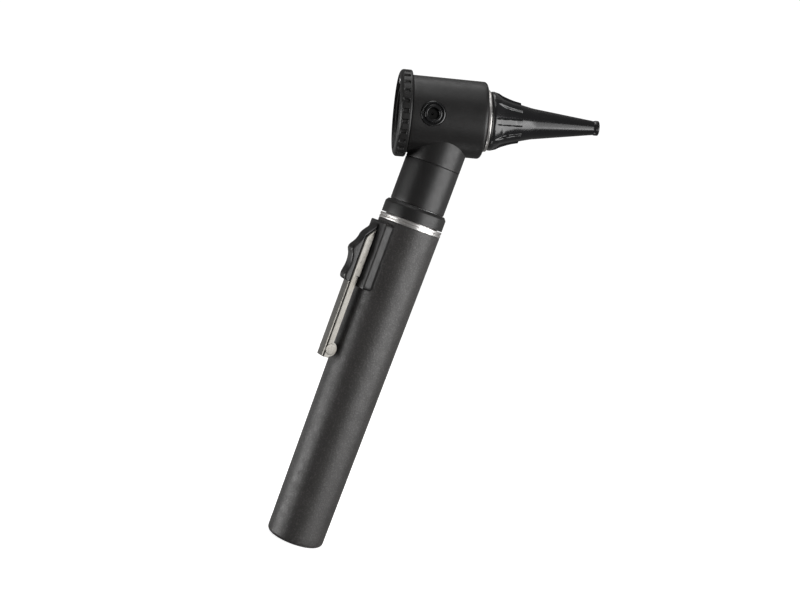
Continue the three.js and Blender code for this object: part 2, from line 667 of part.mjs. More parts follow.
function lampBase() {
  return turned([
    [0, LAMP_FLANGE_BOTTOM],
    [LAMP_FLANGE_RADIUS, LAMP_FLANGE_BOTTOM],
    [LAMP_FLANGE_RADIUS, LAMP_FLANGE_TOP],
    [LAMP_BASE_RADIUS, LAMP_FLANGE_TOP + 0.1],
    [LAMP_BASE_RADIUS, LAMP_BASE_TOP],
    [0, LAMP_BASE_TOP],
  ], ROUND_SMALL);
}

function lampInsulator() {
  const [low, high] = LAMP_INSULATOR_RADII;
  const top = LAMP_FLANGE_BOTTOM - FIT_GAP;
  return turned([[0, LAMP_INSULATOR_BOTTOM], [low, LAMP_INSULATOR_BOTTOM], [high, top], [0, top]], ROUND_SMALL);
}

function lampContact() {
  const top = LAMP_INSULATOR_BOTTOM - FIT_GAP;
  return turned([
    [0, LAMP_CONTACT_BOTTOM],
    [0.7 * LAMP_CONTACT_RADIUS, LAMP_CONTACT_BOTTOM + FIT_GAP],
    [LAMP_CONTACT_RADIUS, (LAMP_CONTACT_BOTTOM + top) / 2],
    [LAMP_CONTACT_RADIUS, top],
    [0, top],
  ], 16);
}

function lampGlass() {
  return turned([[0, LAMP_BASE_TOP + FIT_GAP], ...LAMP_BULB], ROUND_SMALL);
}

function neckSleeve() {
  const top = NECK_SEAM - FIT_GAP;
  return turnedRing([
    [NECK_SLEEVE_BORE, NECK_BOTTOM],
    [NECK_RADIUS - NECK_EDGE, NECK_BOTTOM],
    [NECK_RADIUS, NECK_BOTTOM + NECK_EDGE],
    [NECK_RADIUS, top - NECK_EDGE],
    [NECK_RADIUS - NECK_EDGE, top],
    [NECK_SLEEVE_BORE, top],
  ]);
}

// ---------------------------------------------------------------- head, in the head's frame

function headShell() {
  const barrel = turned([
    [0, HEAD_REAR],
    [HEAD_RADIUS - HEAD_REAR_EDGE, HEAD_REAR],
    [HEAD_RADIUS, HEAD_REAR + HEAD_REAR_EDGE],
    ...arc(HEAD_RADIUS - HEAD_FRONT_EDGE, HEAD_FRONT - HEAD_FRONT_EDGE, HEAD_FRONT_EDGE, 0, 90, 3),
    [0, HEAD_FRONT],
  ]);
  const neck = inHeadFrame(joined(
    rod(NECK_RADIUS, NECK_SEAM + FIT_GAP, HEAD_CENTRE_Z, ROUND),
    rod(SPIGOT_OF_HEAD, SPIGOT_OF_HEAD_BOTTOM, HEAD_CENTRE_Z, ROUND)));
  const chamber = rod(HEAD_BORE, HEAD_REAR - 1, HEAD_FRONT - HEAD_FRONT_WALL, ROUND);
  const well = inHeadFrame(rod(LAMP_WELL, SPIGOT_OF_HEAD_BOTTOM - 1, HEAD_CENTRE_Z, ROUND));
  const bossEnd = HEAD_REAR + PIVOT_BOSS_LENGTH;
  const boss = rod(PIVOT_BOSS_RADIUS, HEAD_REAR, bossEnd).translate([PIVOT_RADIUS - 0.25, 0, 0]);
  const insideBarrel = rod(HEAD_RADIUS - 0.3, HEAD_REAR, bossEnd, ROUND);
  const hollow = cut(joined(barrel, neck), chamber, well);
  const portReach = HEAD_RADIUS + 2.5;
  return cut(joined(hollow, boss.intersect(insideBarrel)),
    rod(SEAT_BARREL + 0.25, 0, HEAD_FRONT + 1, ROUND),
    pivotPath(PIVOT_HOLE, HEAD_REAR - 1, PIVOT_HOLE_END),
    sealGroove(),
    alongY(rod(PORT_RING_RADIUS + 0.1, PORT_SPOT_FACE, portReach)).translate([0, 0, PORT_STATION]),
    alongY(rod(PORT_NIPPLE_RADIUS + 0.15, HEAD_BORE / 2, portReach)).translate([0, 0, PORT_STATION]));
}

// A plain cylinder along the axis that the lens carrier swings on.
function pivotPath(radius, from, to) {
  return rod(radius, from, to, 16).translate([PIVOT_RADIUS, 0, 0]);
}

// The groove in the head's rear face.
function sealGroove() {
  const { inner, outer, depth } = SEAL_GROOVE;
  return turnedRing([
    [inner, HEAD_REAR - 1],
    [outer, HEAD_REAR - 1],
    [outer, HEAD_REAR + depth],
    [inner, HEAD_REAR + depth],
  ]);
}

function chamberSeal() {
  const bottom = HEAD_REAR + SEAL_GROOVE.depth - FIT_GAP;
  const ring = turnedRing([
    [SEAL_INNER, HEAD_REAR - SEAL_PROUD],
    [SEAL_OUTER, HEAD_REAR - SEAL_PROUD],
    [SEAL_OUTER, bottom],
    [SEAL_INNER, bottom],
  ]);
  return cut(ring, pivotPath(PIVOT_HOLE + 0.15, HEAD_REAR - 1, PIVOT_HOLE_END));
}

function lightGuide() {
  const toHead = headMatrix.clone().invert();
  const onNeckAxis = [LIGHT_GUIDE_BOTTOM, LIGHT_GUIDE_BEND].map(
    (z) => new THREE.Vector3(0, 0, z).applyMatrix4(toHead));
  const alongWall = LIGHT_GUIDE_PATH.map((point) => new THREE.Vector3(...point));
  return bar(new THREE.CatmullRomCurve3([...onNeckAxis, ...alongWall]), LIGHT_GUIDE_RADIUS, 14, 8);
}

function portNipple() {
  const profile = [
    [PORT_BORE, PORT_ROOT],
    [PORT_NIPPLE_RADIUS, PORT_ROOT],
    [PORT_NIPPLE_RADIUS, PORT_SPOT_FACE + FIT_GAP],
    [PORT_RING_RADIUS, PORT_SPOT_FACE + FIT_GAP],
    [PORT_RING_RADIUS, PORT_FACE - 0.15],
    [PORT_RING_RADIUS - 0.15, PORT_FACE],
    [PORT_RING_RADIUS - PORT_RING_WALL, PORT_FACE],
    [PORT_RING_RADIUS - PORT_RING_WALL - 0.1, PORT_FACE - PORT_MOAT_DEPTH],
    [PORT_NIPPLE_RADIUS + 0.05, PORT_FACE - PORT_MOAT_DEPTH],
    [PORT_NIPPLE_RADIUS - 0.05, PORT_NIPPLE_FACE],
    [PORT_BORE + 0.05, PORT_NIPPLE_FACE],
    [PORT_BORE, PORT_NIPPLE_FACE - 0.1],
  ];
  return alongY(turnedRing(profile, ROUND_SMALL)).translate([0, 0, PORT_STATION]);
}

function pivotScrew() {
  const seat = PIVOT_HEAD_REAR + PIVOT_HEAD_THICKNESS;
  const screw = turned([
    [0, PIVOT_HEAD_REAR],
    [PIVOT_HEAD_RADIUS, PIVOT_HEAD_REAR],
    [PIVOT_HEAD_RADIUS, seat],
    [PIVOT_SHANK, seat],
    [PIVOT_SHANK, PIVOT_END],
    [0, PIVOT_END],
  ], 16);
  const slot = block([-PIVOT_HEAD_RADIUS - 1, -PIVOT_SLOT_WIDTH / 2, PIVOT_HEAD_REAR - 1],
    [PIVOT_HEAD_RADIUS + 1, PIVOT_SLOT_WIDTH / 2, PIVOT_HEAD_REAR + PIVOT_SLOT_DEPTH]);
  return cut(screw, slot).translate([PIVOT_RADIUS, 0, 0]);
}

// ---------------------------------------------------------------- lens carrier, in the head's frame

function lensFrame() {
  const body = turnedRing([
    [WINDOW_RADIUS, RIM_FRONT],
    [RIM_RADIUS - 0.45, RIM_FRONT],
    [RIM_RADIUS, RIM_FRONT - 0.4],
    [RIM_RADIUS, RIM_REAR + RIM_REAR_EDGE],
    ...arc(RIM_RADIUS - RIM_REAR_EDGE - 0.1, RIM_REAR + RIM_REAR_EDGE, RIM_REAR_EDGE, -20, -90, 2),
    [RIM_DISH_RADIUS, RIM_REAR],
    [RIM_DISH_RADIUS, RIM_DISH_FLOOR],
    [LENS_RADIUS + 0.1, RIM_DISH_FLOOR],
    [LENS_RADIUS + 0.1, RIM_FRONT - RIM_LIP],
    [WINDOW_RADIUS, RIM_FRONT - RIM_LIP],
  ]);
  const notches = Array.from({ length: RIM_NOTCHES }, (_, i) => {
    const notch = block([RIM_RADIUS - RIM_NOTCH_DEPTH, -RIM_NOTCH_WIDTH / 2, RIM_NOTCH_REAR],
      [RIM_RADIUS + 1, RIM_NOTCH_WIDTH / 2, RIM_FRONT - RIM_LIP]);
    return notch.rotate([0, 0, (i + 0.5) * 360 / RIM_NOTCHES]);
  });
  const pivotHole = pivotPath(PIVOT_SHANK + 0.15, RIM_REAR - 1, RIM_FRONT + 1);
  const pivotRecess = pivotPath(PIVOT_HEAD_RADIUS + RUNNING_GAP, RIM_REAR - 1, RIM_DISH_FLOOR + 0.1);
  return cut(body, ...notches, pivotHole, pivotRecess);
}

// A biconvex magnifier.
function lens() {
  const rear = LENS_REAR + LENS_BULGE;
  const face = (centre, sign) => [0, 2.4, 4.8].map(
    (r) => [r, centre + sign * LENS_BULGE * (1 - (r / LENS_RADIUS) ** 2)]);
  return turned([
    ...face(rear, -1),
    [LENS_RADIUS, rear],
    [LENS_RADIUS, LENS_FRONT],
    [WINDOW_RADIUS - 0.2, LENS_FRONT],
    ...face(LENS_FRONT, 1).reverse(),
  ], ROUND_SMALL);
}

// The ring that keeps the magnifier in its frame.
function lensRing() {
  return turnedRing([
    [WINDOW_RADIUS, RETAINER_REAR],
    [LENS_RADIUS, RETAINER_REAR],
    [LENS_RADIUS, RETAINER_FRONT],
    [WINDOW_RADIUS + 0.3, RETAINER_FRONT],
    [WINDOW_RADIUS, RETAINER_FRONT - 0.35],
  ], ROUND_SMALL);
}

// ---------------------------------------------------------------- seat and speculum, in the seat's frame

// Outer radius of the nose cone that the speculum slips over.
function noseRadius(s) {
  const along = (s - SEAT_FLANGE_FRONT) / (NOSE_LENGTH - SEAT_FLANGE_FRONT);
  return NOSE_BASE_RADIUS + (NOSE_TIP_RADIUS - NOSE_BASE_RADIUS) * along;
}

function speculumSeat() {
  return turnedRing([
    [SEAT_BORE, SEAT_BACK],
    [SEAT_BARREL, SEAT_BACK],
    [SEAT_BARREL, SEAT_FLANGE_BACK],
    [SEAT_FLANGE_RADIUS - SEAT_FLANGE_EDGE, SEAT_FLANGE_BACK],
    [SEAT_FLANGE_RADIUS, SEAT_FLANGE_BACK + SEAT_FLANGE_EDGE],
    [SEAT_FLANGE_RADIUS, SEAT_FLANGE_FRONT - SEAT_FLANGE_EDGE],
    [SEAT_FLANGE_RADIUS - SEAT_FLANGE_EDGE, SEAT_FLANGE_FRONT],
    [noseRadius(SEAT_FLANGE_FRONT), SEAT_FLANGE_FRONT],
    [noseRadius(NOSE_LENGTH), NOSE_LENGTH],
    [NOSE_BORE, NOSE_LENGTH],
    [SEAT_THROAT, SEAT_THROAT_END],
  ]);
}

function seatNut() {
  const hexagon = rod(SEAT_NUT_RADIUS, SEAT_NUT_BACK, SEAT_NUT_FRONT, 6);
  return cut(hexagon, rod(SEAT_BARREL + 0.1, SEAT_NUT_BACK - 1, SEAT_NUT_FRONT + 1, ROUND));
}

function speculum() {
  const [slimRadius, slimBase] = SLIM_CONE_BASE;
  const shell = turnedRing([
    [noseRadius(SPECULUM_BASE) + SPECULUM_SLIP, SPECULUM_BASE],
    ...SPECULUM_LINE,
    SLIM_CONE_BASE,
    ...TIP_BEAD,
    [TIP_BORE, SPECULUM_TIP],
    [slimRadius - SPECULUM_WALL, slimBase],
    [noseRadius(NOSE_LENGTH) + SPECULUM_SLIP - FIT_GAP, NOSE_LENGTH + 0.6],
    [noseRadius(NOSE_LENGTH) + SPECULUM_SLIP, NOSE_LENGTH],
  ]);
  const rib = plate(RIB_LINE, RIB_WIDTH);
  const ribs = Array.from({ length: SPECULUM_RIBS },
    (_, i) => rib.rotate([0, 0, i * 360 / SPECULUM_RIBS + RIB_PHASE]));
  return joined(shell, ...ribs);
}

// ---------------------------------------------------------------- assembly

const otoscope = new THREE.Group();

const clipGroup = new THREE.Group();
clipGroup.rotation.z = CLIP_AZIMUTH;

const headGroup = new THREE.Group();
headGroup.position.set(0, 0, HEAD_CENTRE_Z);
headGroup.quaternion.setFromRotationMatrix(headMatrix);

const seatGroup = new THREE.Group();
seatGroup.position.set(0, 0, HEAD_FRONT);
seatGroup.rotation.y = SPECULUM_TILT;

otoscope.add(
  part('handle_tube', handleTube(), COLOURS.handlePlastic),
  part('battery_lower', cell(LOWER_CELL_Z), COLOURS.cell),
  part('battery_upper', cell(UPPER_CELL_Z), COLOURS.cell),
  part('battery_spring', batterySpring(), COLOURS.steel),
  part('threaded_ferrule', threadedFerrule(), COLOURS.chrome),
  part('collar', collar(), COLOURS.headPlastic),
  part('collar_circlip', collarCirclip(), COLOURS.steel),
  part('lamp_socket', lampSocket(), COLOURS.aluminium),
  part('lamp_base', lampBase(), COLOURS.brass),
  part('lamp_insulator', lampInsulator(), COLOURS.rubber),
  part('lamp_contact', lampContact(), COLOURS.brass),
  part('lamp_glass', lampGlass(), COLOURS.glass),
  part('neck_sleeve', neckSleeve(), COLOURS.headPlastic),
  clipGroup,
  headGroup,
);

clipGroup.add(
  part('contact_strip_lower', lowerStrip(), COLOURS.brass),
  part('contact_strip_upper', upperStrip(), COLOURS.brass),
  part('switch_housing', switchHousing(), COLOURS.headPlastic),
  part('switch_slider', switchSlider(), COLOURS.headPlastic),
  part('switch_contact', switchContact(), COLOURS.brass),
  part('pocket_clip', pocketClip(), COLOURS.chrome),
  part('clip_rivet', clipRivet(), COLOURS.steel),
  part('thumb_grip', thumbGrip(), COLOURS.headPlastic),
);

headGroup.add(
  part('head_shell', headShell(), COLOURS.headPlastic),
  part('chamber_seal', chamberSeal(), COLOURS.rubber),
  part('light_guide', lightGuide(), COLOURS.glass),
  part('port_nipple', portNipple(), COLOURS.headPlastic),
  part('pivot_screw', pivotScrew(), COLOURS.steel),
  part('lens_frame', lensFrame(), COLOURS.headPlastic),
  part('lens', lens(), COLOURS.glass),
  part('lens_ring', lensRing(), COLOURS.rubber),
  seatGroup,
);

seatGroup.add(
  part('speculum_seat', speculumSeat(), COLOURS.chrome),
  part('seat_nut', seatNut(), COLOURS.brass),
  part('speculum', speculum(), COLOURS.glossPlastic),
);

export default otoscope;
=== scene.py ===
import json
import math

import bmesh
import bpy
import numpy as np
from mathutils import Matrix, Vector

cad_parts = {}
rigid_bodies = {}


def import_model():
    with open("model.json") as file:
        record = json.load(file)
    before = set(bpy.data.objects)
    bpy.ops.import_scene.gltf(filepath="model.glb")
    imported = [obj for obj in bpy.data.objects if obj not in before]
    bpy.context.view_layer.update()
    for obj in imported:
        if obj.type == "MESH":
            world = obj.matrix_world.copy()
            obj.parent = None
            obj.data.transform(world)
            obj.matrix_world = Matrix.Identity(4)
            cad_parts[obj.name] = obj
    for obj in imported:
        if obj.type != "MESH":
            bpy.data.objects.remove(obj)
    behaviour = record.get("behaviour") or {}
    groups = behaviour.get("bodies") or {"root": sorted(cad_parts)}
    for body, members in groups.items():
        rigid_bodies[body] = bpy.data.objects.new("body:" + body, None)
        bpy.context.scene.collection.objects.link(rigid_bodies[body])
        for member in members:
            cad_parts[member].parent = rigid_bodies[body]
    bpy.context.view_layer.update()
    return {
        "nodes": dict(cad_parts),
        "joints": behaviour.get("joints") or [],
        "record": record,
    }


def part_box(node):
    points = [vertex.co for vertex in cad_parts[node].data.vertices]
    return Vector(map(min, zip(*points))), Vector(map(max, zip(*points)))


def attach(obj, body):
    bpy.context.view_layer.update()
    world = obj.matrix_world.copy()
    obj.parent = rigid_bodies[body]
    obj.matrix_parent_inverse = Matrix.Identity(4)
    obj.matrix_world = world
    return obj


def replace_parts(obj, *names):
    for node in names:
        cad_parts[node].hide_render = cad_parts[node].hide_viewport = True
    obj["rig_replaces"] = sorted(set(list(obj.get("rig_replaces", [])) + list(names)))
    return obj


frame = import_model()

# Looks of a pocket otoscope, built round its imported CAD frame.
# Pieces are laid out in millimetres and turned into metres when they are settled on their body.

MM = 0.001
SEGMENTS = 144                         # steps round a large turned piece
FINE_SEGMENTS = 96                     # steps round a small one
SMALL_SEGMENTS = 48                    # steps round a pin
TINY_SEGMENTS = 32                     # steps round a pin's hole
ARC_STEPS = 6                          # steps in a rounded corner
SMOOTH_ANGLE = math.radians(32)        # edges sharper than this stay crisp
WELD = 0.002                           # closer than this, two vertices are one


# ---------------------------------------------------------------- places to build in

class Place:
    """A frame to build in: its z runs along an axis of the object. Lengths are in millimetres."""

    def __init__(self, origin, x, z):
        x, z = Vector(x).normalized(), Vector(z).normalized()
        self.matrix = Matrix((x, z.cross(x), z)).transposed().to_4x4()
        self.matrix.translation = origin

    def points(self, node):
        """The corners of a CAD node, seen from this place."""
        mesh = frame["nodes"][node].data
        flat = np.empty(len(mesh.vertices) * 3)
        mesh.vertices.foreach_get("co", flat)
        inverse = np.array(self.matrix.inverted())
        return flat.reshape(-1, 3) / MM @ inverse[:3, :3].T + inverse[:3, 3]

    def span(self, node):
        """Lowest and highest station of a CAD node along z."""
        stations = self.points(node)[:, 2]
        return stations.min(), stations.max()

    def middle(self, node):
        """The middle of a CAD node's box, measured along this place's own axes."""
        corners = self.points(node)
        return Vector((corners.min(axis=0) + corners.max(axis=0)) / 2)

    def radius(self, node, low=-math.inf, high=math.inf, inner=False):
        """Largest radius of a CAD node between two stations, or its smallest one."""
        corners = self.points(node)
        inside = corners[(corners[:, 2] >= low) & (corners[:, 2] <= high)]
        radii = np.hypot(inside[:, 0], inside[:, 1])
        return radii.min() if inner else radii.max()


def shifted(place, x):
    """The same place, with its axis moved out along its own x."""
    axes = place.matrix
    return Place(axes @ Vector((x, 0, 0)), axes.col[0].to_3d(), axes.col[2].to_3d())


def joint_axis(name):
    return next(Vector(joint["axis"]) for joint in frame["joints"] if joint["name"] == name)


def centre_of(node):
    low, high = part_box(node)
    return (low + high) / 2 / MM


def head_place():
    axis = joint_axis("lens_swivel")
    lens = centre_of("lens")
    crossing = lens.z - lens.x * axis.z / axis.x
    return Place((0, 0, crossing), (-axis.z, 0, axis.x), axis)


def seat_place(head):
    axis = joint_axis("speculum_pull")
    front = head.matrix @ Vector((0, 0, head.span("head_shell")[1]))
    return Place(front, (-axis.z, 0, axis.x), axis)


def clip_place():
    outward = centre_of("pocket_clip")
    return Place((0, 0, 0), (outward.x, outward.y, 0), (0, 0, 1))


UPRIGHT = Place((0, 0, 0), (1, 0, 0), (0, 0, 1))
HEAD = head_place()
SEAT = seat_place(HEAD)
CLIP = clip_place()


# ---------------------------------------------------------------- outlines

def rounded(corners, closed=True, steps=ARC_STEPS):
    """The outline through corners of (x, y) or (x, y, radius); a radius turns its corner into an arc."""
    points = []
    for i, corner in enumerate(corners):
        here = Vector(corner[:2])
        at_end = not closed and i in (0, len(corners) - 1)
        if len(corner) == 2 or at_end:
            points.append(tuple(here))
            continue
        radius = corner[2]
        back = (Vector(corners[i - 1][:2]) - here).normalized()
        on = (Vector(corners[(i + 1) % len(corners)][:2]) - here).normalized()
        half = back.angle(on) / 2
        reach = radius / math.tan(half)
        centre = here + (back + on).normalized() * radius / math.sin(half)
        start = here + back * reach - centre
        end = here + on * reach - centre
        turn = math.atan2(start.x * end.y - start.y * end.x, start.dot(end))
        first = math.atan2(start.y, start.x)
        for k in range(steps + 1):
            angle = first + turn * k / steps
            points.append((centre.x + radius * math.cos(angle), centre.y + radius * math.sin(angle)))
    return points


def spline(points, steps):
    """A smooth curve through points, with equal steps between each two."""
    ends = [points[0], *points, points[-1]]
    curve = []
    for p0, p1, p2, p3 in zip(ends, ends[1:], ends[2:], ends[3:]):
        a, b, c, d = (np.array(p, float) for p in (p0, p1, p2, p3))
        for t in np.arange(steps) / steps:
            curve.append(0.5 * (2 * b + (c - a) * t + (2 * a - 5 * b + 4 * c - d) * t ** 2
                                + (3 * b - a - 3 * c + d) * t ** 3))
    return [*curve, np.array(points[-1], float)]


def ease(value, start, end):
    """0 before start, 1 after end, and a soft step between them."""
    t = np.clip((value - start) / (end - start), 0, 1)
    return t * t * (3 - 2 * t)


def line(points, value):
    """The straight-line graph through points of (x, y), read at value."""
    return np.interp(value, *zip(*points))


# ---------------------------------------------------------------- mesh building

def make(name, corners, faces, place=UPRIGHT):
    """An object from corners in millimetres of a place, with its faces turned outwards."""
    mesh = bpy.data.meshes.new(name)
    mesh.from_pydata([tuple(c) for c in corners], [], faces)
    mesh.transform(place.matrix)
    work = bmesh.new()
    work.from_mesh(mesh)
    bmesh.ops.recalc_face_normals(work, faces=work.faces)
    work.to_mesh(mesh)
    work.free()
    piece = bpy.data.objects.new(name, mesh)
    bpy.context.scene.collection.objects.link(piece)
    return piece


def band_of(low, high, count):
    """The faces between two rows of count corners each."""
    steps = ((i, (i + 1) % count) for i in range(count))
    return [(low * count + i, low * count + j, high * count + j, high * count + i) for i, j in steps]


def divided(outline, step, closed):
    """The outline with its long stretches along the axis split into steps."""
    points = []
    for here, there in zip(outline, [*outline[1:], *outline[:1]]):
        parts = max(1, math.ceil(abs(there[1] - here[1]) / step))
        points += [tuple(a + (b - a) * k / parts for a, b in zip(here, there)) for k in range(parts)]
    return points if closed else points[:points.index(tuple(outline[-1])) + 1]


def lathe(name, outline, place=UPRIGHT, segments=SEGMENTS, shape=None, step=2.0):
    """A turned piece from (radius, station) points, which close on themselves or start and end on the axis.

    shape(radius, station, angles) may vary the radius round the axis."""
    solid = abs(outline[0][0]) < 1e-9 and abs(outline[-1][0]) < 1e-9
    outline = divided([tuple(map(float, point)) for point in outline], step, not solid)
    rows = outline[1:-1] if solid else outline
    angles = np.arange(segments) * 2 * math.pi / segments
    corners = []
    for radius, station in rows:
        radii = shape(radius, station, angles) if shape else np.full(segments, radius)
        corners += list(zip(radii * np.cos(angles), radii * np.sin(angles), np.full(segments, station)))
    faces = []
    pairs = list(zip(range(len(rows)), range(1, len(rows))))
    if not solid:
        pairs.append((len(rows) - 1, 0))
    for low, high in pairs:
        faces += band_of(low, high, segments)
    if solid:
        for row, (_, station) in ((0, outline[0]), (len(rows) - 1, outline[-1])):
            pole, start = len(corners), row * segments
            corners.append((0, 0, station))
            faces += [(pole, start + i, start + (i + 1) % segments) for i in range(segments)]
    return make(name, corners, faces, place)


def rod(radius, low, high, place=UPRIGHT, segments=SEGMENTS):
    """A plain cylinder, to join or to cut with."""
    return lathe("rod", [(0, low), (radius, low), (radius, high), (0, high)], place, segments)


def loft(name, sections, place=UPRIGHT):
    """A solid through closed sections, each of an even number of points: the way out, then the way back.

    The ends are closed by strips between the way out and the way back."""
    count = len(sections[0])
    corners = [point for section in sections for point in section]
    faces = []
    for row in range(len(sections) - 1):
        faces += band_of(row, row + 1, count)
    for row in (0, len(sections) - 1):
        for i in range(count // 2 - 1):
            a, b, c, d = i, i + 1, count - 2 - i, count - 1 - i
            faces.append(tuple(row * count + k for k in (a, b, c, d)))
    return make(name, corners, faces, place)


def prism(near, far, place):
    """A solid between two alike loops of points, to cut with."""
    count = len(near)
    faces = [tuple(range(count)), tuple(range(count, 2 * count))]
    faces += [(i, (i + 1) % count, count + (i + 1) % count, count + i) for i in range(count)]
    return make("prism", near + far, faces, place)


def bake(piece):
    """Applies the piece's modifiers."""
    bpy.context.view_layer.update()
    shown = piece.evaluated_get(bpy.context.evaluated_depsgraph_get())
    mesh = bpy.data.meshes.new_from_object(shown)
    plain = piece.data
    piece.modifiers.clear()
    piece.data = mesh
    bpy.data.meshes.remove(plain)


def weld(piece):
    """Merges vertices that lie on top of each other, and drops the faces that this leaves without area."""
    mesh = bmesh.new()
    mesh.from_mesh(piece.data)
    bmesh.ops.remove_doubles(mesh, verts=mesh.verts, dist=WELD)
    bmesh.ops.dissolve_degenerate(mesh, dist=WELD, edges=mesh.edges)
    mesh.to_mesh(piece.data)
    mesh.free()


def combine(piece, operation, *others):
    """Joins others to the piece, cuts them from it or keeps what they share."""
    for other in others:
        modifier = piece.modifiers.new(operation, "BOOLEAN")
        modifier.operation = operation
        modifier.solver = "EXACT"
        modifier.object = other
        bake(piece)
        bpy.data.objects.remove(other)
        weld(piece)
    return piece


def settle(piece, body, slot, *nodes):
    """Turns the piece into metres, smooths it, gives it its slot's material and puts it on its body."""
    piece.data.transform(Matrix.Scale(MM, 4))
    piece.data.shade_smooth()
    piece.data.set_sharp_from_angle(angle=SMOOTH_ANGLE)
    piece.data.materials.clear()
    piece.data.materials.append(MATERIALS[slot])
    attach(piece, body)
    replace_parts(piece, *nodes)
    return piece


# ---------------------------------------------------------------- materials

class Paint:
    """One material's node tree, with short ways to add what the finishes need."""

    def __init__(self, name):
        self.material = bpy.data.materials.new(name)
        self.material.use_nodes = True
        self.tree = self.material.node_tree
        self.surface = self.tree.nodes["Principled BSDF"]
        self.where = self.add("TexCoord").outputs["Object"]
        self.edges = self.add("NewGeometry").outputs["Pointiness"]

    def add(self, kind, inputs=None, **settings):
        node = self.tree.nodes.new("ShaderNode" + kind)
        for key, value in settings.items():
            setattr(node, key, value)
        for key, value in (inputs or {}).items():
            self.feed(node.inputs[key], value)
        return node

    def feed(self, socket, value):
        if isinstance(value, bpy.types.NodeSocket):
            self.tree.links.new(value, socket)
        else:
            socket.default_value = value

    def finish(self, **values):
        for key, value in values.items():
            self.feed(self.surface.inputs[key.replace("_", " ")], value)
        return self.material

    def noise(self, size, detail=2.0, stretch=(1, 1, 1)):
        """Cloudy noise with spots of about size millimetres, drawn out by stretch along each axis."""
        scale = tuple(1 / s for s in stretch)
        place = self.add("Mapping", {"Vector": self.where, "Scale": scale}).outputs[0]
        settings = {"Vector": place, "Scale": 1 / (size * MM), "Detail": detail}
        return self.add("TexNoise", settings).outputs["Fac"]

    def spread(self, value, low, high, start=0.3, end=0.7):
        """The value from start to end, spread from low to high."""
        settings = {"Value": value, "From Min": start, "From Max": end, "To Min": low, "To Max": high}
        return self.add("MapRange", settings).outputs["Result"]

    def math(self, operation, *values):
        node = self.add("Math", operation=operation)
        for socket, value in zip(node.inputs, values):
            self.feed(socket, value)
        return node.outputs[0]

    def blend(self, share, first, second):
        """A colour between two, by share."""
        node = self.add("Mix", data_type="RGBA")
        self.feed(node.inputs[0], share)
        self.feed(node.inputs[6], first)
        self.feed(node.inputs[7], second)
        return node.outputs[2]

    def bump(self, height, depth, under=None):
        """A bump of depth millimetres, on top of the normal under it."""
        settings = {"Height": height, "Strength": 1.0, "Distance": depth * MM}
        if under:
            settings["Normal"] = under
        return self.add("Bump", settings).outputs[0]


def shade_of(colour, share):
    return (*(channel * share for channel in colour[:3]), 1.0)


def moulded_plastic(name, colour, roughness, grain, grain_depth, speckle=0.25):
    """Matt black plastic: a fine moulded grain, a slight sheen on the high spots, and rubbed edges."""
    paint = Paint(name)
    cloud = paint.spread(paint.noise(7.0), 0.0, 1.0)
    fine = paint.noise(grain, 1.0)
    tone = paint.blend(cloud, shade_of(colour, 0.9), shade_of(colour, 1.12))
    flecks = paint.spread(fine, 0.0, speckle, 0.5, 0.75)
    tone = paint.blend(flecks, tone, shade_of(colour, 2.6))
    worn = paint.spread(paint.edges, 0.0, 0.35, 0.53, 0.6)
    tone = paint.blend(worn, tone, shade_of(colour, 2.2))
    gloss = paint.spread(paint.noise(2.2, 3.0), roughness - 0.04, roughness + 0.05)
    gloss = paint.math("ADD", gloss, paint.spread(fine, 0.05, -0.05))
    gloss = paint.math("SUBTRACT", gloss, paint.math("MULTIPLY", worn, 0.35))
    waves = paint.bump(paint.noise(5.0, 1.0), 0.015)
    return paint.finish(Base_Color=tone, Roughness=gloss, Normal=paint.bump(fine, grain_depth, waves))


def gloss_plastic(name, colour):
    """Polished black plastic: nearly a mirror, with faint flow waves, dust and hairline scratches."""
    paint = Paint(name)
    dust = paint.spread(paint.noise(0.35, 3.0), 0.0, 0.06, 0.62, 0.8)
    tone = paint.blend(dust, shade_of(colour, 1.0), (0.2, 0.2, 0.19, 1.0))
    scratches = paint.noise(0.25, 2.0, (14, 1, 4))
    gloss = paint.spread(paint.noise(3.0, 2.0), 0.17, 0.25)
    gloss = paint.math("ADD", gloss, paint.spread(scratches, 0.0, 0.08, 0.6, 0.75))
    waves = paint.bump(paint.noise(4.0, 0.0), 0.005)
    return paint.finish(Base_Color=tone, Roughness=gloss, Normal=paint.bump(scratches, 0.0012, waves),
                        Coat_Weight=0.3, Coat_Roughness=0.12)


def plated_metal(name, colour, roughness, stretch, tint=(0.55, 0.5, 0.46)):
    """Bright plating: a drawn grain along the sheet, faint tarnish clouds and small rub marks."""
    paint = Paint(name)
    tarnish = paint.spread(paint.noise(3.0, 4.0), 0.0, 0.45)
    tone = paint.blend(tarnish, shade_of(colour, 1.0), (*tint, 1.0))
    drawn = paint.noise(0.18, 2.0, stretch)
    gloss = paint.spread(drawn, roughness - 0.05, roughness + 0.06)
    rubs = paint.spread(paint.noise(0.7, 4.0), 0.0, 0.12, 0.58, 0.75)
    gloss = paint.math("ADD", gloss, rubs)
    dents = paint.bump(paint.noise(2.4, 1.0), 0.01)
    return paint.finish(Base_Color=tone, Metallic=1.0, Roughness=gloss,
                        Normal=paint.bump(drawn, 0.0015, dents))


def turned_metal(name, colour, dull, roughness):
    """Machined metal: fine tool rings up the axis, dull patches and brighter edges."""
    paint = Paint(name)
    rings = paint.noise(0.12, 1.0, (60, 60, 1))
    dull_patches = paint.spread(paint.noise(1.6, 4.0), 0.0, 0.7)
    tone = paint.blend(dull_patches, shade_of(colour, 1.0), (*dull, 1.0))
    worn = paint.spread(paint.edges, 0.0, 0.5, 0.52, 0.58)
    tone = paint.blend(worn, tone, shade_of(colour, 1.15))
    gloss = paint.spread(rings, roughness - 0.06, roughness + 0.08)
    return paint.finish(Base_Color=tone, Metallic=1.0, Roughness=gloss, Normal=paint.bump(rings, 0.004))


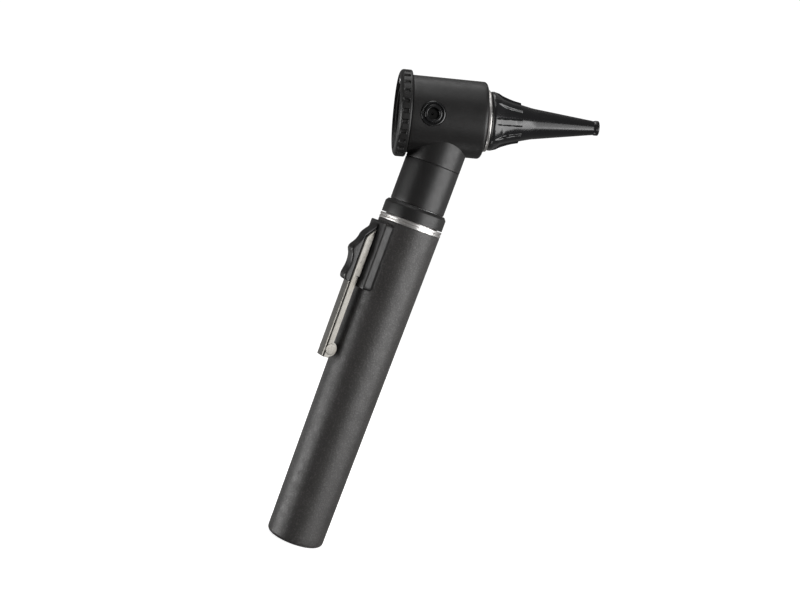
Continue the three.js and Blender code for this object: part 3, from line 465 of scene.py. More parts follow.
def soft_rubber(name):
    """Matt black rubber with fine pores."""
    paint = Paint(name)
    pores = paint.noise(0.2, 2.0)
    tone = paint.blend(paint.spread(pores, 0.0, 1.0), (0.012, 0.012, 0.012, 1.0), (0.03, 0.029, 0.028, 1.0))
    gloss = paint.spread(paint.noise(1.5, 2.0), 0.62, 0.8)
    return paint.finish(Base_Color=tone, Roughness=gloss, Normal=paint.bump(pores, 0.01))


def cell_foil(name):
    """The printed jacket of a battery cell: a plain dark blue foil with faint creases."""
    paint = Paint(name)
    creases = paint.noise(1.2, 3.0, (1, 1, 5))
    tone = paint.blend(paint.spread(creases, 0.0, 0.4), (0.03, 0.07, 0.16, 1.0), (0.06, 0.12, 0.24, 1.0))
    gloss = paint.spread(creases, 0.22, 0.38)
    return paint.finish(Base_Color=tone, Metallic=0.4, Roughness=gloss, Normal=paint.bump(creases, 0.02))


def clear_glass(name):
    """Clear glass with faint smears."""
    paint = Paint(name)
    smears = paint.noise(1.8, 4.0, (1, 3, 1))
    gloss = paint.spread(smears, 0.0, 0.04, 0.5, 0.8)
    return paint.finish(Base_Color=(0.95, 0.98, 1.0, 1.0), Roughness=gloss, IOR=1.5,
                        Transmission_Weight=1.0, Normal=paint.bump(smears, 0.0005))


CHARCOAL = (0.040, 0.038, 0.037)
BLACK = (0.0125, 0.012, 0.012)
DEEP_BLACK = (0.006, 0.006, 0.007)

MATERIALS = {
    "handle_plastic": moulded_plastic("handle_plastic", CHARCOAL, 0.46, 0.45, 0.05, 0.5),
    "head_plastic": moulded_plastic("head_plastic", BLACK, 0.42, 0.3, 0.014, 0.2),
    "gloss_black": gloss_plastic("gloss_black", DEEP_BLACK),
    "chrome": plated_metal("chrome", (0.68, 0.67, 0.66), 0.34, (1, 1, 1)),
    "nickel": plated_metal("nickel", (0.15, 0.145, 0.135), 0.3, (1, 1, 12), (0.11, 0.10, 0.085)),
    "steel": turned_metal("steel", (0.56, 0.56, 0.57), (0.36, 0.35, 0.34), 0.3),
    "brass": turned_metal("brass", (0.80, 0.60, 0.30), (0.50, 0.34, 0.15), 0.28),
    "aluminium": turned_metal("aluminium", (0.78, 0.79, 0.80), (0.55, 0.55, 0.56), 0.34),
    "cell_jacket": cell_foil("cell_jacket"),
    "rubber": soft_rubber("rubber"),
    "glass": clear_glass("glass"),
}


# ---------------------------------------------------------------- handle

HANDLE_BOTTOM, HANDLE_TOP = UPRIGHT.span("handle_tube")
HANDLE_EDGE = 1.3                      # rounding of the bottom edge
HANDLE_LOW_RADIUS = UPRIGHT.radius("handle_tube", high=HANDLE_BOTTOM + 3)
HANDLE_HIGH_RADIUS = UPRIGHT.radius("handle_tube")
RING_BOTTOM = HANDLE_TOP + 0.05


def handle_radius(z):
    """The handle's outer radius at a height on its slight taper."""
    return line([(HANDLE_BOTTOM, HANDLE_LOW_RADIUS), (HANDLE_TOP, HANDLE_HIGH_RADIUS)], z)


def switch_slot():
    """The lengthwise slot that the switch works in, with room below the slider for its travel."""
    low, high = CLIP.span("switch_slider")
    low, high = low - 3.9, high + 0.6
    half, corner = 1.5, 0.3
    inner, outer = 6.9, 12.0
    outline = rounded([(low, -half, corner), (high, -half, corner),
                       (high, half, corner), (low, half, corner)])
    return prism([(inner, y, z) for z, y in outline], [(outer, y, z) for z, y in outline], CLIP)


def handle_case():
    """The handle's tube: closed below, bored for the cells and slotted for the switch."""
    bore = UPRIGHT.radius("handle_tube", inner=True, low=HANDLE_BOTTOM + 5)
    floor = HANDLE_BOTTOM + 1.6
    counterbore = UPRIGHT.radius("threaded_ferrule", high=HANDLE_TOP - 1) + 0.12
    seat = UPRIGHT.span("threaded_ferrule")[0] - 0.1
    case = lathe("handle_case", rounded([
        (0, HANDLE_BOTTOM), (HANDLE_LOW_RADIUS, HANDLE_BOTTOM, HANDLE_EDGE),
        (HANDLE_HIGH_RADIUS, HANDLE_TOP, 0.14), (counterbore, HANDLE_TOP), (counterbore, seat),
        (bore, seat), (bore, floor), (0, floor),
    ], closed=False))
    combine(case, "DIFFERENCE", switch_slot())
    return settle(case, "handle", "handle_plastic", "handle_tube")


def ferrule_ring():
    """The bright ring at the top of the handle, with its grooved band and threaded spigot."""
    low, high = UPRIGHT.span("threaded_ferrule")
    radius = UPRIGHT.radius("threaded_ferrule")
    bore = UPRIGHT.radius("threaded_ferrule", inner=True)
    spigot = UPRIGHT.radius("threaded_ferrule", low=high - 1)
    shank = UPRIGHT.radius("threaded_ferrule", high=HANDLE_TOP - 1)
    top = UPRIGHT.span("collar")[0] - 0.25
    groove, groove_bottom = RING_BOTTOM + 0.5 * (top - RING_BOTTOM), radius - 0.26
    pitch, depth = 0.8, 0.28

    def threaded(r, z, angles):
        if abs(r - spigot) > 0.01:
            return np.full(len(angles), r)
        phase = z / pitch - angles / (2 * math.pi)
        wave = 0.5 + 0.5 * np.cos(2 * math.pi * phase)
        fade = ease(z, top + 0.2, top + 0.5) * (1 - ease(z, high - 0.35, high - 0.1))
        return r - depth * fade * ease(wave, 0.2, 0.8)

    thread_rows = [(spigot, z) for z in np.arange(top + 0.15, high - 0.05, 0.1)]
    ring = lathe("ferrule_ring", [
        *rounded([
            (bore, low), (shank, low), (shank, RING_BOTTOM),
            (radius, RING_BOTTOM, 0.16), (radius, groove - 0.14, 0.08), (groove_bottom, groove - 0.06),
            (groove_bottom, groove + 0.06), (radius, groove + 0.14, 0.08), (radius, top, 0.16),
            (spigot, top),
        ], closed=False),
        *thread_rows,
        (spigot - 0.1, high),
        (bore, high),
    ], shape=threaded)
    return settle(ring, "handle", "chrome", "threaded_ferrule")


# ---------------------------------------------------------------- collar and neck

def union_collar():
    """The turning collar that holds the head on the handle, open over the ferrule's spigot."""
    low, high = UPRIGHT.span("collar")
    radius = UPRIGHT.radius("collar")
    lip_bore = UPRIGHT.radius("collar", inner=True)
    bore = UPRIGHT.radius("collar", high=low + 0.05, inner=True)
    spigot_top = UPRIGHT.span("threaded_ferrule")[1]
    collar = lathe("union_collar", rounded([
        (bore, low, 0.1), (radius, low, 0.14), (radius, high - 0.9, 0.8), (radius - 0.7, high, 0.25),
        (lip_bore, high, 0.12), (lip_bore, high - 1.0), (bore + 0.15, high - 1.0),
        (bore + 0.15, spigot_top + 0.1), (bore, spigot_top - 0.1),
    ]))
    return settle(collar, "collar", "head_plastic", "collar")


def neck_tube():
    """The smooth sleeve between collar and head, with a short skirt down into the collar."""
    low, high = UPRIGHT.span("neck_sleeve")
    radius = UPRIGHT.radius("neck_sleeve")
    bore = UPRIGHT.radius("neck_sleeve", inner=True)
    skirt, skirt_inner, skirt_outer = low - 0.14, 8.0, 8.3
    tube = lathe("neck_tube", rounded([
        (bore, low), (skirt_inner, low), (skirt_inner, skirt), (skirt_outer, skirt), (skirt_outer, low),
        (radius, low, 0.15), (radius, high, 0.12), (bore, high),
    ]))
    return settle(tube, "head", "head_plastic", "neck_sleeve")


# ---------------------------------------------------------------- head

HEAD_REAR = HEAD.span("lens_frame")[1] + 0.2
HEAD_FRONT = HEAD.span("head_shell")[1]
HEAD_RADIUS = HEAD.radius("head_shell", low=HEAD_FRONT - 3)
HEAD_BORE = HEAD_RADIUS - 1.46
HEAD_FRONT_WALL = 1.7
HEAD_FRONT_EDGE = 1.0
PIVOT = HEAD.middle("pivot_screw")
BOSS_RADIUS = 1.9
PIVOT_HOLE = 0.95


def side_place():
    """Built on the port's own axis, which points away from the head on the port's side."""
    origin = HEAD.matrix @ Vector((0, 0, HEAD.middle("port_nipple").z))
    return Place(origin, HEAD.matrix.col[2].to_3d(), (0, -1, 0))


SIDE = side_place()


def head_casting():
    """The barrel of the head with its stub into the neck, bored for the lamp, the port and the pivot."""
    neck_radius = UPRIGHT.radius("neck_sleeve")
    seam = UPRIGHT.span("neck_sleeve")[1] + 0.1
    spigot_bottom = UPRIGHT.span("head_shell")[0]
    spigot = UPRIGHT.radius("head_shell", high=seam - 1)
    crossing = HEAD.matrix.translation.z
    well = UPRIGHT.radius("head_shell", high=seam - 1, inner=True)
    groove = HEAD_BORE + 1.1
    groove_inner, groove_floor = groove - 0.8, HEAD_REAR + 0.6
    barrel = lathe("head_casting", rounded([
        (0, HEAD_REAR), (groove_inner, HEAD_REAR), (groove_inner, groove_floor), (groove, groove_floor),
        (groove, HEAD_REAR), (HEAD_RADIUS, HEAD_REAR, 0.2), (HEAD_RADIUS, HEAD_FRONT, HEAD_FRONT_EDGE),
        (0, HEAD_FRONT),
    ], closed=False), HEAD, 180, step=0.8)
    stub = lathe("stub", rounded([
        (0, spigot_bottom), (spigot, spigot_bottom, 0.2), (spigot, seam), (neck_radius, seam, 0.12),
        (neck_radius, crossing), (0, crossing),
    ], closed=False))
    combine(barrel, "UNION", stub)

    wall = HEAD_FRONT - HEAD_FRONT_WALL
    opening = SEAT.radius("speculum_seat", high=-1) + 0.25
    chamber = lathe("chamber", [(0, HEAD_REAR - 2), (HEAD_BORE, HEAD_REAR - 2), (HEAD_BORE, wall),
                                (opening, wall), (opening, HEAD_FRONT + 1), (0, HEAD_FRONT + 1)], HEAD)
    combine(barrel, "DIFFERENCE", chamber, rod(well, spigot_bottom - 1, crossing - 1))

    boss_end = HEAD_REAR + 5.5
    boss = rod(BOSS_RADIUS, HEAD_REAR + 0.05, boss_end, shifted(HEAD, PIVOT.x - 0.25), SMALL_SEGMENTS)
    combine(boss, "INTERSECT", rod(HEAD_RADIUS - 0.3, HEAD_REAR - 1, boss_end + 1, HEAD))
    combine(barrel, "UNION", boss)
    hole = rod(PIVOT_HOLE, HEAD_REAR - 1, HEAD_REAR + 4.5, shifted(HEAD, PIVOT.x), TINY_SEGMENTS)

    port_face = SIDE.span("port_nipple")[1]
    spot_face, inside, outside = port_face - 1.3, 5.0, port_face + 2
    ring = SIDE.radius("port_nipple") + 0.1
    nipple = SIDE.radius("port_nipple", high=port_face - 2) + 0.15
    port_path = lathe("path", [(0, inside), (nipple, inside), (nipple, spot_face), (ring, spot_face),
                               (ring, outside), (0, outside)], SIDE, FINE_SEGMENTS)
    combine(barrel, "DIFFERENCE", hole, port_path)
    return settle(barrel, "head", "head_plastic", "head_shell")


def port_fitting():
    """The hose nipple on the side of the head, inside its raised ring."""
    low, face = SIDE.span("port_nipple")
    ring = SIDE.radius("port_nipple")
    nipple = SIDE.radius("port_nipple", high=face - 2)
    bore = SIDE.radius("port_nipple", inner=True)
    ring_face, ring_back = face - 0.45, face - 1.25
    trough = ring_face - 0.5
    throat, floor = 0.2 * bore, low + 0.3
    undercut = nipple - 0.3
    fitting = lathe("port_fitting", rounded([
        (throat, low), (nipple, low), (nipple, ring_back), (ring, ring_back),
        (ring, ring_face, 0.45), (ring - 0.62, ring_face, 0.14), (ring - 0.72, trough, 0.1),
        (nipple + 0.08, trough, 0.1), (nipple - 0.05, face, 0.28), (bore, face, 0.2),
        (bore, face - 0.5), (undercut, face - 1.1), (undercut, floor), (throat, floor),
    ]), SIDE, FINE_SEGMENTS)
    return settle(fitting, "head", "gloss_black", "port_nipple")


def pivot_pin():
    """The screw that the lens frame swings on, with a driver slot across its head."""
    low, high = HEAD.span("pivot_screw")
    head, shank, under_head = 1.35, 0.75, low + 0.8
    pin = lathe("pivot_pin", rounded([
        (0, low), (head, low, 0.25), (head, under_head), (shank, under_head), (shank, high, 0.2), (0, high),
    ], closed=False), shifted(HEAD, PIVOT.x), SMALL_SEGMENTS)
    left, right, slot_floor, slot_half = PIVOT.x - 2, PIVOT.x + 2, low + 0.35, 0.22
    outline = [(left, low - 1), (right, low - 1), (right, slot_floor), (left, slot_floor)]
    slot = prism([(x, -slot_half, z) for x, z in outline], [(x, slot_half, z) for x, z in outline], HEAD)
    combine(pin, "DIFFERENCE", slot)
    return settle(pin, "head", "steel", "pivot_screw")


# ---------------------------------------------------------------- swinging lens

GRIPS = 26
GRIP_DEPTH = 0.55
RIM_ROUND, RIM_ROUND_HEIGHT = 1.9, 1.2  # the rounded rear edge of the rim
RIM_REAR, RIM_FRONT = HEAD.span("lens_frame")
RIM_RADIUS = HEAD.radius("lens_frame")
LENS_RADIUS = HEAD.radius("lens")
WINDOW_RADIUS = HEAD.radius("lens_frame", inner=True)


def gripped(r, z, angles):
    """The finger grips cut into the outside of the lens rim."""
    band = ease(z, RIM_REAR + 0.75, RIM_REAR + 1.15) * (1 - ease(z, RIM_FRONT - 1.15, RIM_FRONT - 0.8))
    if r < RIM_RADIUS - 1.5:
        band = 0
    across = np.abs(angles / (2 * math.pi) * GRIPS % 1 - 0.5) * 2
    return r - GRIP_DEPTH * band * (1 - ease(across, 0.22, 0.5))


def lens_bezel():
    """The dished frame round the lens, with its pivot hole and the recess for the screw's head."""
    seat_station = RIM_FRONT - 0.75
    floor = RIM_REAR + 1.1
    crown, dish, lens_fit = RIM_RADIUS - RIM_ROUND, RIM_RADIUS - 2.1, LENS_RADIUS + 0.1
    bezel = lathe("lens_bezel", [
        *rounded([(WINDOW_RADIUS, RIM_FRONT), (RIM_RADIUS, RIM_FRONT, 0.5),
                  (RIM_RADIUS, RIM_FRONT - 0.65)], closed=False)[:-1],
        *[(RIM_RADIUS, z) for z in np.arange(RIM_FRONT - 0.7, RIM_REAR + 1.3, -0.1)],
        *[(crown + RIM_ROUND * math.cos(a), RIM_REAR + RIM_ROUND_HEIGHT - RIM_ROUND_HEIGHT * math.sin(a))
          for a in np.radians(np.arange(0, 91, 9))],
        *rounded([(crown, RIM_REAR), (dish, RIM_REAR, 0.1), (dish, floor, 0.2), (lens_fit, floor, 0.1),
                  (lens_fit, seat_station), (WINDOW_RADIUS, seat_station)], closed=False)[1:],
    ], HEAD, GRIPS * 16, gripped)
    place = shifted(HEAD, PIVOT.x)
    hole = rod(0.9, RIM_REAR - 1, RIM_FRONT + 1, place, TINY_SEGMENTS)
    recess = rod(1.55, RIM_REAR - 1, RIM_REAR + 1.2, place, SMALL_SEGMENTS)
    combine(bezel, "DIFFERENCE", hole, recess)
    return settle(bezel, "lens_carrier", "head_plastic", "lens_frame")


def magnifier():
    """The lens, bulging on both sides, with its edge held under the gasket."""
    rear, front = HEAD.span("lens")
    bulge = 0.55

    def face(centre, sign, reach):
        return [(r, centre + sign * bulge * (1 - (r / LENS_RADIUS) ** 2)) for r in np.linspace(0, reach, 14)]

    window = WINDOW_RADIUS - 0.2
    glass = lathe("magnifier", [
        *face(rear + bulge, -1, LENS_RADIUS),
        (LENS_RADIUS, front - bulge),
        (window, front - bulge),
        *face(front - bulge, 1, window)[::-1],
    ], HEAD)
    return settle(glass, "lens_carrier", "glass", "lens")


def lens_gasket():
    """The thin dark ring that the lens is bedded in."""
    low, high = HEAD.span("lens_ring")
    gasket = lathe("lens_gasket", rounded([
        (WINDOW_RADIUS, low, 0.2), (LENS_RADIUS, low, 0.15), (LENS_RADIUS, high), (WINDOW_RADIUS + 0.3, high),
        (WINDOW_RADIUS, high - 0.35, 0.1),
    ]), HEAD)
    return settle(gasket, "lens_carrier", "rubber", "lens_ring")


# ---------------------------------------------------------------- speculum and its seat

def seat_cone():
    """The plated seat: a flange against the head, and the nose that the speculum slips over."""
    low, high = SEAT.span("speculum_seat")
    flange = SEAT.radius("speculum_seat")
    barrel = SEAT.radius("speculum_seat", high=-1)
    nose = SEAT.radius("speculum_seat", low=high - 0.5)
    inner = SEAT.radius("speculum_seat", low=high - 0.5, inner=True)
    front, rear = 1.25, 0.35
    bore, throat = 5.2, 5.0
    seat = lathe("seat_cone", rounded([
        (bore, low), (barrel, low, 0.2), (barrel, rear), (flange, rear, 0.12), (flange, front, 0.25),
        (barrel - 0.2, front, 0.15), (nose, high, 0.2), (inner, high, 0.1), (throat, 1.0),
    ]), SEAT)
    return settle(seat, "head", "chrome", "speculum_seat")


RIBS = 8
RIB_PHASE = math.radians(3)
RIB_WIDTH = 1.9
TIP_BASE, TIP_END = SEAT.span("speculum")
TIP_RADIUS = SEAT.radius("speculum")
SHOULDER = 15.2                        # where the flare becomes the long cone
RIB_END = 11.1
CONE_END, CONE_END_RADIUS = TIP_END - 1.6, 2.1
BEAD_RADIUS = 2.24                     # the rolled bead at the tip
# (radius, station) down the outside of the flare
SHELL_LINE = [(TIP_RADIUS, TIP_BASE + 1.3), (7.85, 4.2), (7.1, 5.35), (6.6, 6.6), (6.05, 8.5), (5.5, 11.0),
              (4.8, 14.0), (4.57, SHOULDER)]
# (station, height) along a rib
RIB_LINE = [(1.4, 0.0), (2.8, 0.03), (4.2, 0.5), (5.35, 0.62), (6.66, 0.62), (9.1, 0.5), (10.95, 0.5),
            (RIB_END, 0.0)]


def ribbed(r, z, angles):
    """The grip ribs on the flare, of one width from base to end."""
    if r < shell_radius(z) - 0.3:
        return np.full(len(angles), r)
    away = (angles - RIB_PHASE) / (2 * math.pi) * RIBS % 1
    away = np.minimum(away, 1 - away) * 2 * math.pi / RIBS * r
    return r + line(RIB_LINE, z) * (1 - ease(away, RIB_WIDTH / 2 - 0.32, RIB_WIDTH / 2 + 0.18))


def shell_radius(z):
    """The radius of the shell between its ribs."""
    return line([(station, radius) for radius, station in SHELL_LINE] + [(CONE_END, CONE_END_RADIUS)], z)


def ear_tip():
    """The hollow speculum: a ribbed flare, a long cone and a rolled bead at its tip."""
    nose_fit = SEAT.radius("speculum", high=TIP_BASE + 0.05, inner=True)
    bore = SEAT.radius("speculum", low=TIP_END - 0.1, inner=True)
    inner_step = SEAT.radius("speculum", low=9.9, high=10.1, inner=True)
    flare = spline([(radius, station) for radius, station in SHELL_LINE], 8)
    rib_end = [(shell_radius(z), z) for z in (10.95, 11.0, 11.05, RIB_END)]
    flare = sorted([*(tuple(p) for p in flare), *rib_end], key=lambda p: p[1])
    shell = lathe("ear_tip", [
        *rounded([(nose_fit, TIP_BASE), (TIP_RADIUS - 0.5, TIP_BASE, 0.1),
                  (TIP_RADIUS, TIP_BASE + 0.55, 0.2), flare[0]], closed=False)[:-1],
        *flare,
        *[(shell_radius(z), z) for z in np.linspace(SHOULDER, CONE_END, 12)[1:]],
        *rounded([(shell_radius(CONE_END), CONE_END), (BEAD_RADIUS, TIP_END - 1.1, 0.4),
                  (BEAD_RADIUS, TIP_END, 0.3), (bore, TIP_END, 0.2), (3.72, SHOULDER, 2.0), (4.95, 10.6),
                  (inner_step, 10.0), (nose_fit, TIP_BASE)], closed=False)[1:-1],
    ], SEAT, RIBS * 48, ribbed, step=0.35)
    weld(shell)
    return settle(shell, "speculum", "gloss_black", "speculum")


# ---------------------------------------------------------------- clip switch

CLIP_BOTTOM, CLIP_TOP = CLIP.span("pocket_clip")
CLIP_HALF = CLIP.points("pocket_clip")[:, 1].max()
SHEET = 0.35
BEND = 0.7
RAIL = 11.25                           # the deep upper sides end here, just off the switch plate
ARM_INNER = 11.5
CLIP_STEP = 82.1
CLIP_SHOULDER = CLIP_TOP - 3.0
EAR_STATION, EAR_CENTRE, EAR_RADIUS = CLIP_BOTTOM + 2.7, 12.1, 2.3
DISC_RADIUS, DISC_RISE = 1.75, 0.12    # the raised disc on each ear
WEB_LOW, WEB_HIGH = 13.6, 13.8
RIVET_STATION = sum(CLIP.span("clip_rivet")) / 2
FLARE = 0.17                           # how far the deep sides lean out towards the rail


def web_line(z):
    """How far the clip's outer face is from the handle's axis."""
    return line([(CLIP_BOTTOM, WEB_LOW), (CLIP_SHOULDER, WEB_HIGH)], z)


def clip_face(z):
    """The outer face of the clip, with the bend at its shoulder and the slope above it."""
    slope = (WEB_HIGH - RAIL) / (CLIP_TOP - CLIP_SHOULDER)
    bent = WEB_HIGH - slope * (z - CLIP_SHOULDER)
    flat = WEB_LOW + (WEB_HIGH - WEB_LOW) * (z - CLIP_BOTTOM) / (CLIP_SHOULDER - CLIP_BOTTOM)
    sharpness = 0.35
    return -sharpness * np.logaddexp(-flat / sharpness, -bent / sharpness)


def clip_edge(z):
    """Where the clip's sides end: the arm, the deep sides above the step, and the ear at the bottom."""
    edge = line([(CLIP_STEP - 0.15, ARM_INNER), (CLIP_STEP + 0.1, RAIL)], z)
    reach = EAR_RADIUS ** 2 - (z - EAR_STATION) ** 2
    if reach > 0:
        edge = min(edge, EAR_CENTRE - math.sqrt(reach))
    return edge


def clip_section(z):
    """The folded sheet at one height: round the outside, then back round the inside."""
    face, edge = clip_face(z), clip_edge(z)
    half = CLIP_HALF
    depth = max(face - edge, 0.1)
    outer_bend, inner_bend = min(BEND, depth - 0.05), max(min(BEND, depth - 0.05) - SHEET, 0.02)
    side_steps = np.linspace(0, 1, 9)
    flare = FLARE * ease(z, CLIP_STEP - 0.1, CLIP_STEP + 0.15)
    arc = np.radians(np.linspace(0, 90, 8))

    def half_section(y_side, bend, outer_face):
        start = min(edge, outer_face - bend - 0.01)
        side = [(start + (outer_face - bend - start) * t, y_side + flare * (1 - t) ** 2) for t in side_steps]
        corner = [(outer_face - bend + bend * math.sin(a), y_side - bend + bend * math.cos(a)) for a in arc]
        middle = [(outer_face, (y_side - bend) * t) for t in (0.66, 0.33)]
        return side + corner[1:] + middle

    def whole(y_side, bend, outer_face):
        one = half_section(y_side, bend, outer_face)
        return one + [(outer_face, 0.0)] + [(x, -y) for x, y in reversed(one)]

    outside = whole(half, outer_bend, face)
    inside = whole(half - SHEET, inner_bend, face - SHEET)
    tip = edge - 0.03
    out, back = half + flare - 0.05, half - SHEET + flare + 0.05
    return ([(tip, out, z)] + [(x, y, z) for x, y in outside] + [(tip, -out, z)]
            + [(tip, -back, z)] + [(x, y, z) for x, y in reversed(inside)] + [(tip, back, z)])


def rivet_place():
    """Built on the rivet's axis, which points out of the clip."""
    return Place(CLIP.matrix @ Vector((0, 0, RIVET_STATION)), (0, 0, 1), CLIP.matrix.col[0].to_3d())


def clip_spring():
    """The folded sheet of the clip, its rivet hole, and the raised disc on each of its ears."""
    ear = [EAR_STATION + EAR_RADIUS * math.sin(a) for a in np.radians(np.arange(-90, 91, 7.5))]
    ear = [z for z in ear if z > CLIP_BOTTOM + 0.12]
    heights = sorted({CLIP_BOTTOM, CLIP_BOTTOM + 0.06, CLIP_BOTTOM + 0.12, *ear,
                      *np.linspace(CLIP_BOTTOM + 6, CLIP_STEP - 1, 12),
                      *np.linspace(CLIP_STEP - 0.25, CLIP_STEP + 0.2, 10),
                      *np.linspace(CLIP_STEP + 1, CLIP_SHOULDER - 1.5, 8),
                      *np.linspace(CLIP_SHOULDER - 1.2, CLIP_TOP - 0.25, 24)})
    spring = loft("clip_spring", [clip_section(z) for z in heights], CLIP)
    combine(spring, "DIFFERENCE", rod(0.7, 11, 16, rivet_place(), TINY_SEGMENTS))
    across = CLIP.matrix.col[1].to_3d()
    disc_root, disc_face = CLIP_HALF - 0.2, CLIP_HALF + DISC_RISE
    for side in (1, -1):
        ear_place = Place(CLIP.matrix @ Vector((EAR_CENTRE - 0.45, 0, EAR_STATION)), (0, 0, 1), side * across)
        disc = lathe("disc", rounded([
            (0, disc_root), (DISC_RADIUS, disc_root), (DISC_RADIUS, disc_face, 0.1), (0, disc_face),
        ], closed=False), ear_place, SMALL_SEGMENTS)
        combine(spring, "UNION", disc)
    return settle(spring, "clip_switch", "nickel", "pocket_clip")


def rivet_pin():
    """The rivet through the clip's face, with a low domed head outside."""
    place = rivet_place()
    low, high = place.span("clip_rivet")
    face = web_line(RIVET_STATION) + 0.05
    shank, head, crown = 0.6, 1.15, 1.0
    pin = lathe("rivet_pin", rounded([
        (0, low), (shank, low, 0.1), (shank, face), (head, face, 0.05), (crown, high, 0.2), (0, high),
    ], closed=False), place, SMALL_SEGMENTS)
    return settle(pin, "clip_switch", "steel", "clip_rivet")


THUMB_BOTTOM, THUMB_TOP = CLIP.span("thumb_grip")
THUMB_HALF = CLIP.points("thumb_grip")[:, 1].max()


def thumb_button():
    """The push button moulded over the clip: a raised ridge, a hollow for the thumb and a rounded heel."""
    crest = spline([
        (11.3, THUMB_TOP), (12.1, 97.5), (13.35, 95.9), (14.0, 94.6), (14.3, 93.4), (15.1, 91.9),
        (16.1, 90.6), (16.4, 89.4), (15.65, 87.8), (15.3, 86.1), (15.3, 84.4), (15.6, 82.8),
        (15.75, 81.5), (15.4, 80.5), (14.6, THUMB_BOTTOM),
    ], 6)
    shoulder_base = (WEB_HIGH + 0.05, CLIP_SHOULDER + 0.05)
    top_base = (11.3, CLIP_TOP + 0.2)
    slope_end = CLIP_SHOULDER + 0.6    # above it the button's foot follows the clip's slope
    squareness = 5.0
    around = np.radians(np.linspace(0, 180, 33))
    sections = []
    for radial, z in crest:
        if z > slope_end:
            share = (THUMB_TOP - z) / (THUMB_TOP - slope_end)
            base = tuple(a + (b - a) * share for a, b in zip(top_base, shoulder_base))
        else:
            base = (web_line(z) + 0.03, min(z, shoulder_base[1]))
        out, back = [], []
        for angle in around:
            across = math.copysign(abs(math.cos(angle)) ** (2 / squareness), math.cos(angle))
            rise = abs(math.sin(angle)) ** (2 / squareness)
            out.append((base[0] + (radial - base[0]) * rise + 0.01, across * THUMB_HALF,
                        base[1] + (z - base[1]) * rise))
            back.append((base[0], across * (THUMB_HALF - 0.02), base[1]))
        sections.append(out + back[::-1])
    button = loft("thumb_button", sections, CLIP)
    weld(button)
    return settle(button, "clip_switch", "head_plastic", "thumb_grip")


PLATE_BOTTOM, PLATE_TOP = CLIP.span("switch_housing")
PLATE_HALF = CLIP.points("switch_housing")[:, 1].max()
PLATE_CORNER = 1.6
PLATE_EDGE = 0.35
# (half width, distance from the handle's axis): crowned face, steep wall and hollow foot
PLATE_FACE = [(0, 10.95), (1.5, 10.93), (3.0, 10.85), (4.3, 10.65), (5.1, 10.4), (5.42, 10.15), (5.5, 9.8),
              (5.52, 9.2), (5.54, 8.4), (5.58, 8.05), (5.75, 7.7), (6.05, 7.36)]


def switch_plate():
    """The raised block on the handle that the clip slides on: a crowned face, steep walls and a soft foot."""
    near_end = [0.03, 0.08, 0.15, 0.25, 0.35, 0.5, 0.7, 0.9, 1.1, 1.35, 1.6, 2.0]
    middle = np.linspace(2.6, PLATE_TOP - PLATE_BOTTOM - 2.6, 26)
    heights = [PLATE_BOTTOM, *(PLATE_BOTTOM + e for e in near_end), *(PLATE_BOTTOM + m for m in middle),
               *(PLATE_TOP - e for e in reversed(near_end)), PLATE_TOP]
    face = np.array(spline(PLATE_FACE, 8))
    across = np.concatenate([-face[::-1, 0], face[1:, 0]]) / face[-1, 0]
    sections = []
    for z in heights:
        from_end = min(z - PLATE_BOTTOM, PLATE_TOP - z)
        inset = max(PLATE_CORNER - from_end, 0)
        half = PLATE_HALF - PLATE_CORNER + math.sqrt(PLATE_CORNER ** 2 - inset ** 2)
        share = min(from_end / PLATE_EDGE, 1)
        drop = PLATE_EDGE * (1 - math.sqrt(1 - (1 - share) ** 2))
        out, back = [], []
        for y in half * across:
            root = math.sqrt((handle_radius(z) + 0.05) ** 2 - y ** 2)
            out.append((max(np.interp(abs(y), face[:, 0], face[:, 1]) - drop, root + 0.03), y, z))
            back.append((root, y, z))
        sections.append(out + back[::-1])
    plate = loft("switch_plate", sections, CLIP)
    combine(plate, "DIFFERENCE", switch_slot())
    return settle(plate, "handle", "head_plastic", "switch_housing")


# ---------------------------------------------------------------- inner pieces

def paint_inner_nodes():
    """Inner pieces keep their CAD shape and get the finish of their material slot."""
    shown_by_piece = {node for piece in bpy.data.objects for node in piece.get("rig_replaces", [])}
    for row in frame["record"]["subparts"]:
        if row["node"] not in shown_by_piece:
            node = frame["nodes"][row["node"]]
            node.data.materials.clear()
            node.data.materials.append(MATERIALS[row["material_slot"]])


# ---------------------------------------------------------------- camera, light and floor

AZIMUTH = math.radians(-6.83)
ELEVATION = math.radians(3.82)
ROLL = math.radians(20.43)
DISTANCE = 0.361
TARGET = Vector((0.004806, -0.001828, 0.079620))
LENS_MM = 54.0

BACK = Vector((math.sin(AZIMUTH) * math.cos(ELEVATION), -math.cos(AZIMUTH) * math.cos(ELEVATION),
               math.sin(ELEVATION)))
LEVEL = Vector((math.cos(AZIMUTH), math.sin(AZIMUTH), 0))
RIGHT = LEVEL * math.cos(ROLL) + BACK.cross(LEVEL) * math.sin(ROLL)
UP = BACK.cross(RIGHT)


def make_camera():
    camera = bpy.data.objects.new("camera", bpy.data.cameras.new("camera"))
    bpy.context.scene.collection.objects.link(camera)
    camera.data.lens = LENS_MM
    camera.data.sensor_width = 36
    camera.data.clip_start, camera.data.clip_end = 0.01, 20
    turn = Matrix((RIGHT, UP, BACK)).transposed().to_4x4()
    turn.translation = TARGET + BACK * DISTANCE
    camera.matrix_world = turn
    bpy.context.scene.camera = camera


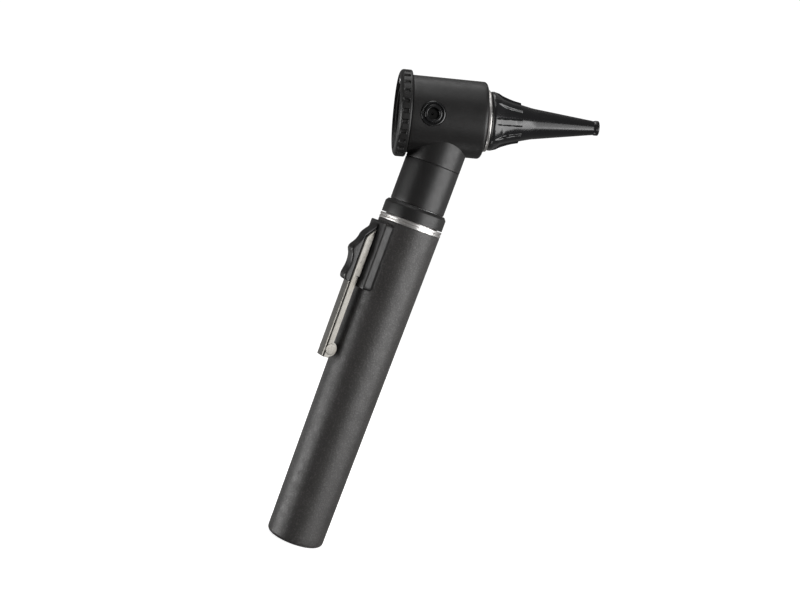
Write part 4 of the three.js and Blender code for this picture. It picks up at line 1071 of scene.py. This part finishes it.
# name, azimuth and elevation in degrees from the camera's side, distance, width and height in metres, watts
SOFTBOXES = [
    ("key", 67, -14, 0.7, 0.68, 0.6, 5.7),
    ("front", 37, -14, 0.7, 0.22, 0.66, 1.0),
    ("fill", -78, -1, 0.6, 0.5, 0.36, 3.8),
    ("back", -130, 6, 0.6, 0.4, 0.24, 0.18),
    ("rear", 125, -8, 0.7, 0.4, 0.35, 0.08),
    ("top", 12, 96, 0.8, 0.7, 0.4, 1.5),
    ("upper", 12, 68, 0.8, 0.5, 0.3, 0.6),
    ("under", 12, -100, 0.6, 0.25, 0.14, 0.3),
]


def softbox(name, azimuth, elevation, distance, width, height, power):
    """A soft panel light aimed at the object and turned about the camera's right and up."""
    a, e = math.radians(azimuth), math.radians(elevation)
    towards = RIGHT * math.sin(a) * math.cos(e) + UP * math.sin(e) + BACK * math.cos(a) * math.cos(e)
    panel = bpy.data.lights.new(name, "AREA")
    panel.shape = "RECTANGLE"
    panel.size, panel.size_y = width, height
    panel.energy = power
    light = bpy.data.objects.new(name, panel)
    bpy.context.scene.collection.objects.link(light)
    light.location = TARGET + towards * distance
    light.rotation_mode = "QUATERNION"
    light.rotation_quaternion = towards.to_track_quat("Z", "Y")
    light.visible_camera = False


def make_world():
    """White behind the object, and a dim grey room for everything that it reflects."""
    world = bpy.data.worlds.new("studio")
    bpy.context.scene.world = world
    world.use_nodes = True
    nodes, links = world.node_tree.nodes, world.node_tree.links
    seen = nodes["Background"]
    seen.inputs["Color"].default_value = (1.0, 1.0, 1.0, 1.0)
    seen.inputs["Strength"].default_value = 1.05
    room = nodes.new("ShaderNodeBackground")
    room.inputs["Color"].default_value = (1.0, 0.99, 0.98, 1.0)
    room.inputs["Strength"].default_value = 0.17
    path = nodes.new("ShaderNodeLightPath")
    mix = nodes.new("ShaderNodeMixShader")
    links.new(path.outputs["Is Camera Ray"], mix.inputs[0])
    links.new(room.outputs[0], mix.inputs[1])
    links.new(seen.outputs[0], mix.inputs[2])
    links.new(mix.outputs[0], nodes["World Output"].inputs["Surface"])


def make_floor():
    """A plain pale floor under the handle, bright enough to melt into the background."""
    size = 1.2
    mesh = bpy.data.meshes.new("floor")
    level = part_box("handle_tube")[0].z - 0.0004
    mesh.from_pydata([(-size, -size, level), (size, -size, level), (size, size, level), (-size, size, level)],
                     [], [(0, 1, 2, 3)])
    floor = bpy.data.objects.new("floor", mesh)
    bpy.context.scene.collection.objects.link(floor)
    material = bpy.data.materials.new("floor")
    material.use_nodes = True
    nodes, links = material.node_tree.nodes, material.node_tree.links
    path = nodes.new("ShaderNodeLightPath")
    bright = nodes.new("ShaderNodeMapRange")
    bright.inputs["To Min"].default_value = 0.04
    bright.inputs["To Max"].default_value = 0.92
    links.new(path.outputs["Is Camera Ray"], bright.inputs["Value"])
    surface = nodes["Principled BSDF"]
    surface.inputs["Base Color"].default_value = (0.82, 0.82, 0.82, 1.0)
    surface.inputs["Roughness"].default_value = 0.6
    surface.inputs["Emission Color"].default_value = (1.0, 1.0, 1.0, 1.0)
    links.new(bright.outputs[0], surface.inputs["Emission Strength"])
    mesh.materials.append(material)
    floor.visible_glossy = False
    floor.visible_diffuse = False


# ---------------------------------------------------------------- assembly

bpy.context.scene.view_settings.view_transform = "Standard"
make_camera()
make_world()
for row in SOFTBOXES:
    softbox(*row)
make_floor()

handle_case()
ferrule_ring()
union_collar()
neck_tube()
head_casting()
port_fitting()
pivot_pin()
lens_bezel()
magnifier()
lens_gasket()
seat_cone()
ear_tip()
clip_spring()
rivet_pin()
thumb_button()
switch_plate()
paint_inner_nodes()
